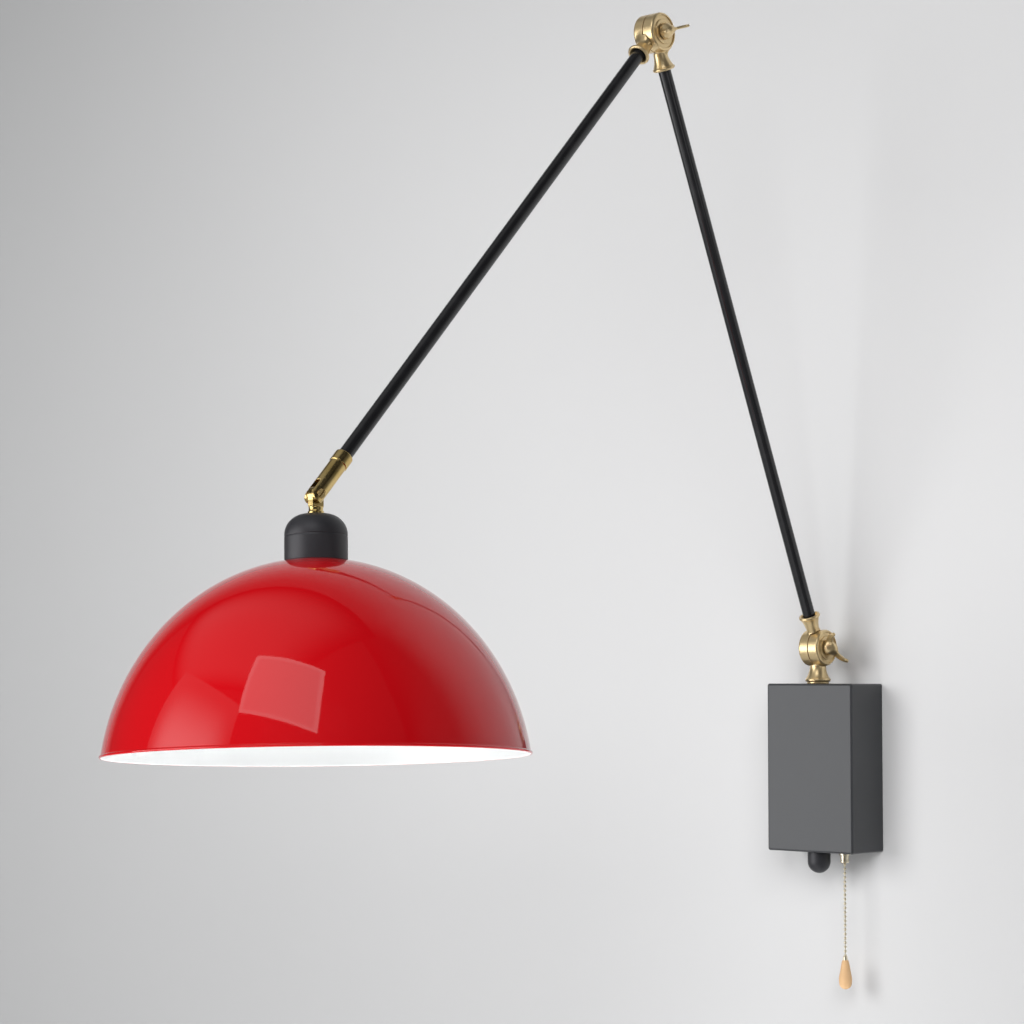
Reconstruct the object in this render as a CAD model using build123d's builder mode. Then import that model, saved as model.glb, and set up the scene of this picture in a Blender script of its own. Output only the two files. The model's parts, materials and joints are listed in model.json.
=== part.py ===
from build123d import *
import os
from math import atan2, cos, degrees, radians, sin, sqrt

os.makedirs("parts", exist_ok=True)

# Swing arm wall lamp, in millimetres.
# The origin lies on the wall behind the middle of the wall box.
# +X points right, +Y into the wall and +Z up.

# Wall box
box_width = 84.0
box_height = 137.0
box_depth = 44.0
cover_sheet = 1.5
cover_edge_radius = 1.8
plate_sheet = 2.0
plate_gap = 0.3
tab_width = 12.0
tab_depth = 12.0
tab_edge_distance = 9.0
cover_screw_radius = 1.75
cover_screw_head_radius = 2.9
cover_screw_head_height = 1.4
cover_screw_length = 8.0
cover_screw_from_wall = 7.0
wall_hole_radius = 2.3
wall_hole_spacing = 56.0

# Supply side inside the box
cable_hole_radius = 7.0
cable_hole_x = -14.0
cable_hole_z = -26.0
grommet_bore_radius = 5.0
grommet_lip = 1.5
block_width = 42.0
block_height = 17.0
block_depth = 16.0
pole_pitch = 13.0
pole_row_pitch = 9.0
pole_well_radius = 2.4
pole_well_depth = 4.0
pole_port_radius = 1.7
pole_port_depth = 4.2
pole_screw_radius = 2.1
pole_screw_height = 2.6
pole_screw_slot = 0.7
pole_port_from_wall = 7.0
block_screw_radius = 1.5
block_screw_head_radius = 2.4
block_screw_head_height = 1.2
earth_x = -28.0
earth_above_floor = 20.5
earth_screw_radius = 2.0
earth_head_radius = 3.6
earth_head_height = 2.2
earth_tag_radius = 4.6
earth_tag_sheet = 0.8
earth_tag_tail = 11.0
block_below_top = 36.5

# Swivel through the box
swivel_from_wall = 30.5
rod_radius = 5.0
rod_bore_radius = 3.0
rod_window_height = 16.0
rod_window_z = -12.0
running_gap = 0.05
bush_wall = 1.6
bush_flange = 2.4
bush_flange_height = 1.5
nut_across_flats = 14.0
nut_height = 4.0
swivel_washer_radius = 9.0
swivel_washer_height = 1.6
dome_radius = 9.3
dome_height = 17.4
dome_thread_depth = 12.0

# Friction knuckles
knuckle_radius = 14.8
knuckle_thickness = 19.2
knuckle_edge_radius = 2.0
knuckle_neck_root = 8.0
face_ring_radius = 12.6
face_boss_radius = 9.6
face_ring_depth = 0.9
pivot_above_box = 29.4
friction_washer_thickness = 0.6
friction_washer_width = 2.8
lap_gap = 0.5
wireway_depth = 3.6
wireway_wall = 1.0
clamp_screw_radius = 3.0
clamp_screw_engagement = 5.0
clamp_boss_wall = 2.4
clamp_hub_radius = 6.4
clamp_hub_nose_radius = 3.7
clamp_hub_height = 7.6
clamp_hub_crown = 1.4
wing_root_height = 2.4
wing_tip_radius = 1.7
wing_thickness = 2.2
wing_reach = 15.8
wing_height = 14.0
lower_wing_angle = -49.0
upper_wing_angle = 19.5

# Stem of the lower knuckle
stem_neck_radius = 6.6
stem_foot_radius = 10.4
stem_foot_lip = 3.0
stem_thread_depth = 10.5

# Bell sockets
bell_neck_radius = 5.2
bell_mouth_radius = 8.75
bell_length = 29.4
bell_lip = 2.8
bell_wall = 2.0
bell_flare_depth = 5.0
tube_seat = 21.8
nipple_stop = 15.2

# Arms
rear_arm_length = 518.0
front_arm_length = 520.0
rear_lean = 24.25
front_lean = 43.75
tube_radius = 5.0
tube_wall = 1.0
nipple_length = 14.0
flex_radius = 2.3

# End swivel
fork_radius = 6.1
fork_collar_radius = 6.6
fork_collar_length = 9.0
fork_length = 37.8
fork_socket_depth = 8.0
fork_slot_depth = 9.0
fork_roll = 5.5
tongue_swing = 41.15
eye_radius = 5.6
eye_thickness = 5.0
eye_side_gap = 0.1
tongue_width = 9.6
tongue_shoulder = 8.2
tongue_collar_radius = 5.4
tongue_collar_length = 1.6
tongue_bore_radius = 1.6
tongue_stud_length = 7.0
stud_radius = 4.0
swivel_screw_radius = 2.0
swivel_screw_head_radius = 3.2
swivel_screw_head_height = 1.3
swivel_screw_slot = 0.8

# Lamp holder and its cover
cap_radius = 21.0
cap_drop = 13.0
cap_height = 31.5
cap_shoulder_radius = 14.0
cap_wall = 1.5
holder_radius = 18.4
holder_mouth_chamfer = 1.6
holder_below_seat = 21.0
socket_radius = 13.3
socket_shell_wall = 0.4
socket_shell_length = 24.0
contact_radius = 5.0
contact_height = 2.0

# Shade
shade_rim_radius = 140.0
shade_depth = 128.5
shade_seat_radius = 22.0
shade_bulge_drop = 21.5
shade_wall = 0.8
shade_hem_radius = 0.9
dome_station_count = 8
shade_ring_radius = 27.0
shade_ring_height = 7.0
shade_ring_relief = 1.2
shade_ring_notch_count = 12
shade_ring_notch_radius = 2.0

# Pull switch
switch_x = 19.3
switch_from_wall = 22.0
switch_radius = 11.0
switch_height = 19.5
switch_floor = 4.5
switch_wall = 2.5
switch_lid_height = 2.5
ferrule_radius = 3.6
ferrule_drop = 8.8
ferrule_embed = 3.0
ferrule_bore_radius = 1.8
ferrule_mouth_flare = 1.0
ferrule_nut_radius = 4.7
ferrule_nut_height = 2.5
slider_head_radius = 6.0
slider_head_height = 2.0
slider_stem_radius = 1.1
spring_wire_radius = 0.4
spring_coil_radius = 3.2
spring_height = 10.0
spring_turn_count = 5
switch_wire_radius = 1.1
switch_wire_spread = 8.0
switch_wire_drop = 16.0
switch_wire_rise = 14.0
switch_wire_bend = 12.0

# Pull chain
bead_radius = 1.25
bead_pitch = 3.5
bead_link_radius = 0.4
bead_count = 22
top_bead_count = 1
chain_from_box = 10.2
coupling_radius = 1.9
coupling_height = 3.6
pendant_radius = 5.35
pendant_height = 23.5
pendant_neck_radius = 2.6

# Places that several pieces share
half_height = box_height / 2
inner_width = box_width - 2 * cover_sheet
inner_height = box_height - 2 * cover_sheet
half_inner_height = inner_height / 2
swivel_y = -swivel_from_wall
switch_y = -switch_from_wall
earth_z = earth_above_floor - half_inner_height
block_z = half_inner_height - block_below_top
tube_bore_radius = tube_radius - tube_wall
bush_bore_radius = rod_radius + running_gap
bush_radius = bush_bore_radius + bush_wall
first_bead_z = -half_height - chain_from_box
bead_reach = sqrt(bead_radius**2 - bead_link_radius**2)
right = Vector(1, 0, 0)
up = Vector(0, 0, 1)
down = Vector(0, 0, -1)

# Directions of the arms and of the shade, each from its upper or inner end
lower_pivot = Vector(0, swivel_y, half_height + pivot_above_box)
rear_dir = Vector(0, -sin(radians(rear_lean)), cos(radians(rear_lean)))
upper_pivot = lower_pivot + rear_dir * rear_arm_length
front_dir = Vector(0, -sin(radians(front_lean)), -cos(radians(front_lean)))
end_pivot = upper_pivot + front_dir * front_arm_length
fork_dir = front_dir * -1
hinge_dir = right.rotate(Axis((0, 0, 0), front_dir), fork_roll)
shade_dir = front_dir.rotate(Axis((0, 0, 0), hinge_dir), tongue_swing)


def turning_plane(origin, direction, across=right):
    """Plane of a turned profile: x is the radius, y runs along the direction."""
    return Plane(origin=origin, x_dir=across, z_dir=across.cross(direction))


def cross_plane(origin, direction, across=right):
    """Plane square to the direction, with its x across."""
    return Plane(origin=origin, x_dir=across, z_dir=direction)


# Outline of a bell socket, radius against distance from the pivot
def bell_outline():
    lip_start = bell_length - bell_lip
    lip_radius = bell_mouth_radius - bell_lip / 3
    Polyline(
        (flex_radius, knuckle_neck_root),
        (bell_neck_radius, knuckle_neck_root),
        (bell_neck_radius, nipple_stop),
    )
    TangentArc((bell_neck_radius, nipple_stop), (lip_radius, lip_start), tangent=(0, 1))
    ThreePointArc(
        (lip_radius, lip_start),
        (bell_mouth_radius, bell_length - bell_lip / 2),
        (lip_radius, bell_length),
    )
    Polyline(
        (lip_radius, bell_length),
        (bell_mouth_radius - bell_wall, bell_length),
        (tube_radius, bell_length - bell_flare_depth),
        (tube_radius, tube_seat),
        (tube_bore_radius, tube_seat),
        (tube_bore_radius, nipple_stop),
        (flex_radius, nipple_stop),
        (flex_radius, knuckle_neck_root),
    )


# Outline of the stem that stands on the box, radius against distance below the pivot
def stem_outline():
    foot = pivot_above_box - swivel_washer_height
    lip_start = foot - stem_foot_lip
    lip_radius = stem_foot_radius - stem_foot_lip / 4
    Polyline(
        (flex_radius, knuckle_neck_root),
        (stem_neck_radius, knuckle_neck_root),
        (stem_neck_radius, knuckle_radius),
    )
    TangentArc((stem_neck_radius, knuckle_radius), (lip_radius, lip_start), tangent=(0, 1))
    ThreePointArc(
        (lip_radius, lip_start),
        (stem_foot_radius, foot - stem_foot_lip / 2),
        (lip_radius, foot),
    )
    Polyline(
        (lip_radius, foot),
        (rod_radius, foot),
        (rod_radius, foot - stem_thread_depth),
        (flex_radius, foot - stem_thread_depth),
        (flex_radius, knuckle_neck_root),
    )


# Half of a lapped friction knuckle with its socket or stem. The side is +1 for the half under
# the wing screw and -1 for the half that the screw is threaded into.
def knuckle_half(pivot, direction, side, outline):
    outward = right * side
    face = pivot + outward * (friction_washer_thickness / 2)
    disc = (knuckle_thickness - friction_washer_thickness) / 2
    boss_radius = clamp_screw_radius + clamp_boss_wall
    wireway_radius = knuckle_radius - friction_washer_width - wireway_wall
    with BuildPart() as half:
        with BuildSketch(turning_plane(pivot, direction)):
            with BuildLine():
                outline()
            make_face()
        revolve(axis=Axis(pivot, direction))
        # room for the other half's disc
        with BuildSketch(cross_plane(face, outward * -1, up)):
            Circle(knuckle_radius + lap_gap)
        extrude(amount=knuckle_thickness, mode=Mode.SUBTRACT)
        with BuildSketch(cross_plane(face, outward, up)):
            Circle(knuckle_radius)
        extrude(amount=disc)
        rim = half.edges().filter_by(GeomType.CIRCLE).filter_by(
            lambda e: abs(e.radius - knuckle_radius) < 0.01
        )
        fillet(rim.sort_by(Axis(pivot, outward))[-1], radius=knuckle_edge_radius)
        if side > 0:
            # sunk ring round the seat of the wing screw
            with BuildSketch(cross_plane(face + outward * disc, outward, up)):
                Circle(face_ring_radius)
                Circle(face_boss_radius, mode=Mode.SUBTRACT)
            extrude(amount=-face_ring_depth, mode=Mode.SUBTRACT)
        # wireway round the clamp screw, and the bore from it to the socket
        with BuildSketch(cross_plane(face, outward, up)):
            Circle(wireway_radius)
            Circle(boss_radius, mode=Mode.SUBTRACT)
        extrude(amount=wireway_depth, mode=Mode.SUBTRACT)
        with BuildSketch(cross_plane(pivot + direction * boss_radius, direction)):
            Circle(flex_radius)
        extrude(amount=knuckle_radius - boss_radius + lap_gap, mode=Mode.SUBTRACT)
        # screw hole, through on the wing side and blind on the other
        with BuildSketch(cross_plane(face, outward, up)):
            Circle(clamp_screw_radius + running_gap)
        depth = disc if side > 0 else clamp_screw_engagement + running_gap
        extrude(amount=depth, mode=Mode.SUBTRACT)
    return half


# Fibre ring between the two halves of a knuckle
def friction_washer(pivot):
    with BuildPart() as washer:
        with BuildSketch(cross_plane(pivot - right * (friction_washer_thickness / 2), right, up)):
            Circle(knuckle_radius - knuckle_edge_radius / 2)
            Circle(knuckle_radius - friction_washer_width, mode=Mode.SUBTRACT)
        extrude(amount=friction_washer_thickness)
    return washer


# Pair of raked wings that stand out from a clamp screw along the angle
def clamp_wings(pivot, wing_dir):
    root = knuckle_thickness / 2 + wing_root_height
    nose = knuckle_thickness / 2 + clamp_hub_height
    tip = knuckle_thickness / 2 + wing_height
    with BuildPart() as wings:
        with BuildSketch(turning_plane(pivot, right, wing_dir)):
            with BuildLine():
                Line((0, root), (clamp_hub_radius, root))
                ThreePointArc(
                    (clamp_hub_radius, root),
                    (wing_reach * 0.8, root + (tip - root) * 0.34),
                    (wing_reach, tip - wing_tip_radius),
                )
                ThreePointArc(
                    (wing_reach, tip - wing_tip_radius),
                    (wing_reach - wing_tip_radius, tip),
                    (wing_reach - 2 * wing_tip_radius, tip - wing_tip_radius),
                )
                ThreePointArc(
                    (wing_reach - 2 * wing_tip_radius, tip - wing_tip_radius),
                    (wing_reach * 0.55, nose + (tip - nose) * 0.3),
                    (clamp_hub_nose_radius, nose),
                )
                Polyline((clamp_hub_nose_radius, nose), (0, nose), (0, root))
            make_face()
            mirror(about=Plane.YZ)
        extrude(amount=wing_thickness / 2, both=True)
    return wings.part


# Wing screw: shank, turned hub and two wings
def wing_screw(pivot, angle):
    seat = knuckle_thickness / 2
    nose = seat + clamp_hub_height
    crown = nose + clamp_hub_crown
    tip = -(friction_washer_thickness / 2 + clamp_screw_engagement)
    wing_dir = Vector(0, cos(radians(angle)), sin(radians(angle)))
    wings = clamp_wings(pivot, wing_dir)
    with BuildPart() as screw:
        with BuildSketch(turning_plane(pivot, right, wing_dir)):
            with BuildLine():
                Polyline(
                    (0, tip),
                    (clamp_screw_radius, tip),
                    (clamp_screw_radius, seat),
                    (clamp_hub_radius, seat),
                    (clamp_hub_nose_radius, nose),
                )
                ThreePointArc(
                    (clamp_hub_nose_radius, nose),
                    (clamp_hub_nose_radius * 0.7, nose + clamp_hub_crown * 0.6),
                    (0, crown),
                )
                Line((0, crown), (0, tip))
            make_face()
        revolve(axis=Axis(pivot, right))
        add(wings)
    return screw


# Straight tube of an arm between two distances from its upper or inner pivot
def arm_tube(pivot, direction, start, end):
    with BuildPart() as tube:
        with BuildSketch(cross_plane(pivot + direction * start, direction)):
            Circle(tube_radius)
            Circle(tube_bore_radius, mode=Mode.SUBTRACT)
        extrude(amount=end - start)
    return tube


# Two threaded nipples that join a tube to the fittings at its ends
def arm_nipples(pivot, direction, start, end):
    with BuildPart() as nipples:
        for seat, inward in ((start, 1), (end, -1)):
            foot = pivot + direction * seat
            with BuildSketch(cross_plane(foot, direction * inward)):
                Circle(tube_bore_radius)
                Circle(flex_radius, mode=Mode.SUBTRACT)
            extrude(amount=nipple_length)
    return nipples


# Straight run of the two-core flex
def flex_run(pivot, direction, start, end):
    with BuildPart() as flex:
        with BuildSketch(cross_plane(pivot + direction * start, direction)):
            Circle(flex_radius)
        extrude(amount=end - start)
    return flex


# Flanged bush in the top or bottom of the box, standing inwards from the outer face
def flanged_bush(outer_z, inward):
    origin = Vector(0, swivel_y, outer_z)
    depth = cover_sheet + bush_flange_height
    with BuildPart() as bush:
        with BuildSketch(turning_plane(origin, inward)):
            with BuildLine():
                Polyline(
                    (bush_bore_radius, 0),
                    (bush_radius, 0),
                    (bush_radius, cover_sheet),
                    (bush_radius + bush_flange, cover_sheet),
                    (bush_radius + bush_flange, depth),
                    (bush_bore_radius, depth),
                    close=True,
                )
            make_face()
        revolve(axis=Axis(origin, inward))
    return bush


# Strand of beads on short links, hanging from its first bead, as one turned piece. A tail is the
# link below the last bead.
def bead_strand(first_z, count, tail):
    with BuildPart() as strand:
        with BuildSketch(turning_plane(Vector(switch_x, switch_y, 0), up)):
            with BuildLine():
                edge = (0, first_z + bead_radius)
                for i in range(count):
                    middle = first_z - i * bead_pitch
                    if i == count - 1 and not tail:
                        end = (0, middle - bead_radius)
                    else:
                        end = (bead_link_radius, middle - bead_reach)
                    ThreePointArc(edge, (bead_radius, middle), end)
                    edge = end
                    if i < count - 1:
                        edge = (bead_link_radius, middle - bead_pitch + bead_reach)
                        Line(end, edge)
                if tail:
                    foot = first_z - (count - 1) * bead_pitch - bead_radius - tail
                    Polyline(edge, (bead_link_radius, foot), (0, foot))
                    edge = (0, foot)
                Line(edge, (0, first_z + bead_radius))
            make_face()
        revolve(axis=Axis((switch_x, switch_y, 0), (0, 0, 1)))
    return strand


# Box cover: a folded sheet box, open to the wall
cover_screw_x = inner_width / 2 - tab_edge_distance
head_step = cover_screw_head_radius - cover_screw_radius
with BuildPart() as box_cover:
    with BuildSketch(Plane.XZ):
        Rectangle(box_width, box_height)
    extrude(amount=box_depth)
    fillet(box_cover.edges().filter_by(Axis.Y), radius=cover_edge_radius)
    fillet(box_cover.faces().sort_by(Axis.Y)[0].edges(), radius=cover_edge_radius)
    with BuildSketch(Plane.XZ):
        Rectangle(inner_width, inner_height)
    extrude(amount=box_depth - cover_sheet, mode=Mode.SUBTRACT)
    with BuildSketch(Plane.XY.offset(-half_height)):
        with Locations((0, swivel_y)):
            Circle(bush_radius)
    extrude(amount=box_height, mode=Mode.SUBTRACT)
    with BuildSketch(Plane.XY.offset(-half_height)):
        with Locations((switch_x, switch_y)):
            Circle(ferrule_radius)
    extrude(amount=cover_sheet, mode=Mode.SUBTRACT)
    for end, tilt in ((half_height, 0), (-half_height, 180)):
        with Locations(Location((0, -cover_screw_from_wall, end), (tilt, 0, 0))):
            with GridLocations(2 * cover_screw_x, 1, 2, 1):
                CounterSinkHole(
                    radius=cover_screw_radius,
                    counter_sink_radius=cover_screw_head_radius,
                    depth=2 * cover_sheet,
                    counter_sink_angle=2 * degrees(atan2(head_step, cover_screw_head_height)),
                )
box_cover.part.label = "box_cover"
export_step(box_cover.part, "parts/box_cover.step")

# Back plate, with the tabs that the cover is screwed to
with BuildPart() as back_plate:
    with BuildSketch(Plane.XZ):
        Rectangle(inner_width - 2 * plate_gap, inner_height - 2 * plate_gap)
        with GridLocations(wall_hole_spacing, 1, 2, 1):
            Circle(wall_hole_radius, mode=Mode.SUBTRACT)
        with Locations((cable_hole_x, cable_hole_z)):
            Circle(cable_hole_radius, mode=Mode.SUBTRACT)
        with Locations((earth_x, earth_z)):
            Circle(earth_screw_radius, mode=Mode.SUBTRACT)
        with Locations((0, block_z)):
            with GridLocations(pole_pitch, 1, 2, 1):
                Circle(block_screw_radius, mode=Mode.SUBTRACT)
    extrude(amount=plate_sheet)
    tab_z = half_inner_height - plate_sheet / 2
    with BuildSketch(Plane.XZ):
        with GridLocations(2 * cover_screw_x, 2 * tab_z, 2, 2):
            Rectangle(tab_width, plate_sheet)
    extrude(amount=tab_depth)
    with BuildSketch(Plane.XY.offset(-half_height)):
        with Locations((0, -cover_screw_from_wall)):
            with GridLocations(2 * cover_screw_x, 1, 2, 1):
                Circle(cover_screw_radius)
    extrude(amount=box_height, mode=Mode.SUBTRACT)
back_plate.part.label = "back_plate"
export_step(back_plate.part, "parts/back_plate.step")

# Countersunk screws, two in the top and two in the bottom of the cover
with BuildPart() as cover_screws:
    for end, inward in ((half_height, down), (-half_height, up)):
        for screw_x in (-cover_screw_x, cover_screw_x):
            head = Vector(screw_x, -cover_screw_from_wall, end)
            with BuildSketch(turning_plane(head, inward)):
                Polygon(
                    (0, 0),
                    (cover_screw_head_radius, 0),
                    (cover_screw_radius, cover_screw_head_height),
                    (cover_screw_radius, cover_screw_length),
                    (0, cover_screw_length),
                    align=None,
                )
            revolve(axis=Axis(head, inward))
cover_screws.part.label = "cover_screws"
export_step(cover_screws.part, "parts/cover_screws.step")

# Rubber grommet in the supply hole of the back plate
with BuildPart() as cable_grommet:
    grommet_origin = Vector(cable_hole_x, 0, cable_hole_z)
    with BuildSketch(turning_plane(grommet_origin, Vector(0, -1, 0))):
        with BuildLine():
            Polyline(
                (grommet_bore_radius, 0),
                (cable_hole_radius, 0),
                (cable_hole_radius, plate_sheet),
                (cable_hole_radius + grommet_lip, plate_sheet),
                (cable_hole_radius + grommet_lip, plate_sheet + grommet_lip),
                (grommet_bore_radius, plate_sheet + grommet_lip),
                close=True,
            )
        make_face()
    revolve(axis=Axis(grommet_origin, (0, -1, 0)))
cable_grommet.part.label = "cable_grommet"
export_step(cable_grommet.part, "parts/cable_grommet.step")

# Three-pole terminal block
block_front = plate_sheet + block_depth
with BuildPart() as terminal_block:
    with BuildSketch(Plane.XZ.offset(plate_sheet)):
        with Locations((0, block_z)):
            Rectangle(block_width, block_height)
    extrude(amount=block_depth)
    with BuildSketch(Plane.XZ.offset(block_front)):
        with Locations((0, block_z)):
            with GridLocations(pole_pitch, pole_row_pitch, 3, 2):
                Circle(pole_well_radius)
    extrude(amount=-pole_well_depth, mode=Mode.SUBTRACT)
    with BuildSketch(Plane.XZ.offset(plate_sheet)):
        with Locations((0, block_z)):
            with GridLocations(pole_pitch, 1, 2, 1):
                Circle(block_screw_radius)
    extrude(amount=block_depth, mode=Mode.SUBTRACT)
    with BuildSketch(Plane.XY.offset(block_z - block_height / 2)):
        with Locations((0, -plate_sheet - pole_port_from_wall)):
            with GridLocations(pole_pitch, 1, 3, 1):
                Circle(pole_port_radius)
    extrude(amount=pole_port_depth, mode=Mode.SUBTRACT)
terminal_block.part.label = "terminal_block"
export_step(terminal_block.part, "parts/terminal_block.step")

# Clamping screws of the three poles, sitting on the floors of their wells
with BuildPart() as terminal_screws:
    with BuildSketch(Plane.XZ.offset(block_front - pole_well_depth)):
        with Locations((0, block_z)):
            with GridLocations(pole_pitch, pole_row_pitch, 3, 2):
                Circle(pole_screw_radius)
    extrude(amount=pole_screw_height)
    with BuildSketch(Plane.XZ.offset(block_front - pole_well_depth + pole_screw_height)):
        with Locations((0, block_z)):
            with GridLocations(pole_pitch, pole_row_pitch, 3, 2):
                Rectangle(2 * pole_screw_radius, pole_screw_slot)
    extrude(amount=-pole_screw_slot, mode=Mode.SUBTRACT)
terminal_screws.part.label = "terminal_screws"
export_step(terminal_screws.part, "parts/terminal_screws.step")

# Two screws that hold the terminal block on the plate
with BuildPart() as block_screws:
    with BuildSketch(Plane.XZ):
        with Locations((0, block_z)):
            with GridLocations(pole_pitch, 1, 2, 1):
                Circle(block_screw_radius)
    extrude(amount=block_front)
    with BuildSketch(Plane.XZ.offset(block_front)):
        with Locations((0, block_z)):
            with GridLocations(pole_pitch, 1, 2, 1):
                Circle(block_screw_head_radius)
    extrude(amount=block_screw_head_height)
block_screws.part.label = "block_screws"
export_step(block_screws.part, "parts/block_screws.step")

# Earth screw and the ring tag under its head
with BuildPart() as earth_tag:
    with BuildSketch(Plane.XZ.offset(plate_sheet)):
        with Locations((earth_x, earth_z)):
            Circle(earth_tag_radius)
        with Locations((earth_x, earth_z + earth_tag_tail / 2)):
            Rectangle(earth_tag_radius, earth_tag_tail)
        with Locations((earth_x, earth_z)):
            Circle(earth_screw_radius, mode=Mode.SUBTRACT)
    extrude(amount=earth_tag_sheet)
earth_tag.part.label = "earth_tag"
export_step(earth_tag.part, "parts/earth_tag.step")

with BuildPart() as earth_screw:
    with BuildSketch(Plane.XZ):
        with Locations((earth_x, earth_z)):
            Circle(earth_screw_radius)
    extrude(amount=plate_sheet + earth_tag_sheet)
    with BuildSketch(Plane.XZ.offset(plate_sheet + earth_tag_sheet)):
        with Locations((earth_x, earth_z)):
            Circle(earth_head_radius)
    extrude(amount=earth_head_height)
    fillet(earth_screw.edges().sort_by(Axis.Y)[0], radius=earth_head_height / 3)
earth_screw.part.label = "earth_screw"
export_step(earth_screw.part, "parts/earth_screw.step")

# Nylon bushes that the swivel rod turns in
top_bush = flanged_bush(half_height, down)
top_bush.part.label = "top_bush"
export_step(top_bush.part, "parts/top_bush.step")

bottom_bush = flanged_bush(-half_height, up)
bottom_bush.part.label = "bottom_bush"
export_step(bottom_bush.part, "parts/bottom_bush.step")

# Pull switch: a moulded cup on the floor of the box
switch_foot = -half_inner_height
switch_cavity = switch_foot + switch_floor
switch_top = switch_foot + switch_height
ferrule_top = switch_foot + ferrule_embed
ferrule_end = -half_height - ferrule_drop
with BuildPart() as switch_body:
    with BuildSketch(turning_plane(Vector(switch_x, switch_y, 0), up)):
        with BuildLine():
            Polyline(
                (ferrule_radius, switch_foot),
                (switch_radius, switch_foot),
                (switch_radius, switch_top),
                (switch_radius - switch_wall, switch_top),
                (switch_radius - switch_wall, switch_cavity),
                (ferrule_bore_radius, switch_cavity),
                (ferrule_bore_radius, ferrule_top),
                (ferrule_radius, ferrule_top),
                close=True,
            )
        make_face()
    revolve(axis=Axis((switch_x, switch_y, 0), (0, 0, 1)))
switch_body.part.label = "switch_body"
export_step(switch_body.part, "parts/switch_body.step")

# Threaded ferrule of the switch, through the floor of the box
with BuildPart() as switch_ferrule:
    with BuildSketch(turning_plane(Vector(switch_x, switch_y, 0), up)):
        with BuildLine():
            Polyline(
                (ferrule_bore_radius + ferrule_mouth_flare, ferrule_end),
                (ferrule_radius, ferrule_end + ferrule_mouth_flare),
                (ferrule_radius, ferrule_top),
                (ferrule_bore_radius, ferrule_top),
                (ferrule_bore_radius, ferrule_end + 2 * ferrule_mouth_flare),
                close=True,
            )
        make_face()
    revolve(axis=Axis((switch_x, switch_y, 0), (0, 0, 1)))
switch_ferrule.part.label = "switch_ferrule"
export_step(switch_ferrule.part, "parts/switch_ferrule.step")

with BuildPart() as switch_lid:
    with BuildSketch(Plane.XY.offset(switch_top)):
        with Locations((switch_x, switch_y)):
            Circle(switch_radius)
    extrude(amount=switch_lid_height)
    fillet(switch_lid.edges().sort_by(Axis.Z)[-1], radius=switch_lid_height / 3)
switch_lid.part.label = "switch_lid"
export_step(switch_lid.part, "parts/switch_lid.step")

# Ring nut on the ferrule, under the box
with BuildPart() as switch_nut:
    with BuildSketch(Plane.XY.offset(-half_height - ferrule_nut_height)):
        with Locations((switch_x, switch_y)):
            Circle(ferrule_nut_radius)
            Circle(ferrule_radius, mode=Mode.SUBTRACT)
    extrude(amount=ferrule_nut_height)
    chamfer(switch_nut.edges().sort_by(Axis.Z)[0], length=ferrule_nut_height / 5)
switch_nut.part.label = "switch_nut"
export_step(switch_nut.part, "parts/switch_nut.step")

# Slider of the switch: its head bears on the spring and its stem holds the chain
slider_top = switch_cavity + spring_height + slider_head_height
slider_stem_end = first_bead_z + bead_radius
with BuildPart() as switch_slider:
    with BuildSketch(turning_plane(Vector(switch_x, switch_y, 0), up)):
        with BuildLine():
            Polyline(
                (0, slider_stem_end),
                (slider_stem_radius, slider_stem_end),
                (slider_stem_radius, slider_top - slider_head_height),
                (slider_head_radius, slider_top - slider_head_height),
                (slider_head_radius, slider_top),
                (0, slider_top),
                close=True,
            )
        make_face()
    revolve(axis=Axis((switch_x, switch_y, 0), (0, 0, 1)))
switch_slider.part.label = "switch_slider"
export_step(switch_slider.part, "parts/switch_slider.step")

with BuildPart() as switch_spring:
    with BuildLine() as coil:
        Helix(
            pitch=(spring_height - 2 * spring_wire_radius) / spring_turn_count,
            height=spring_height - 2 * spring_wire_radius,
            radius=spring_coil_radius,
            center=(switch_x, switch_y, switch_cavity + spring_wire_radius),
        )
    with BuildSketch(Plane(origin=coil.line @ 0, z_dir=coil.line % 0)):
        Circle(spring_wire_radius)
    sweep()
switch_spring.part.label = "switch_spring"
export_step(switch_spring.part, "parts/switch_spring.step")

# Two wires from the terminal block to the lid of the switch
wire_start = block_z - block_height / 2
wire_end = switch_top + switch_lid_height
with BuildPart() as switch_wires:
    for pole_x, entry_side in ((0, -1), (pole_pitch, 1)):
        entry_x = switch_x + entry_side * switch_wire_spread / 2
        start = Vector(pole_x, -plate_sheet - pole_port_from_wall, wire_start)
        finish = Vector(entry_x, switch_y, wire_end)
        with BuildLine() as route:
            FilletPolyline(
                start,
                start - up * switch_wire_drop,
                finish + up * switch_wire_rise,
                finish,
                radius=switch_wire_bend,
            )
        with BuildSketch(Plane(origin=start, z_dir=down)):
            Circle(switch_wire_radius)
        sweep(path=route.line)
switch_wires.part.label = "switch_wires"
export_step(switch_wires.part, "parts/switch_wires.step")

# Stem half of the lower knuckle, standing on the box
stem_knuckle = knuckle_half(lower_pivot, down, 1, stem_outline)
stem_knuckle.part.label = "stem_knuckle"
export_step(stem_knuckle.part, "parts/stem_knuckle.step")

lower_friction_washer = friction_washer(lower_pivot)
lower_friction_washer.part.label = "lower_friction_washer"
export_step(lower_friction_washer.part, "parts/lower_friction_washer.step")

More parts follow.
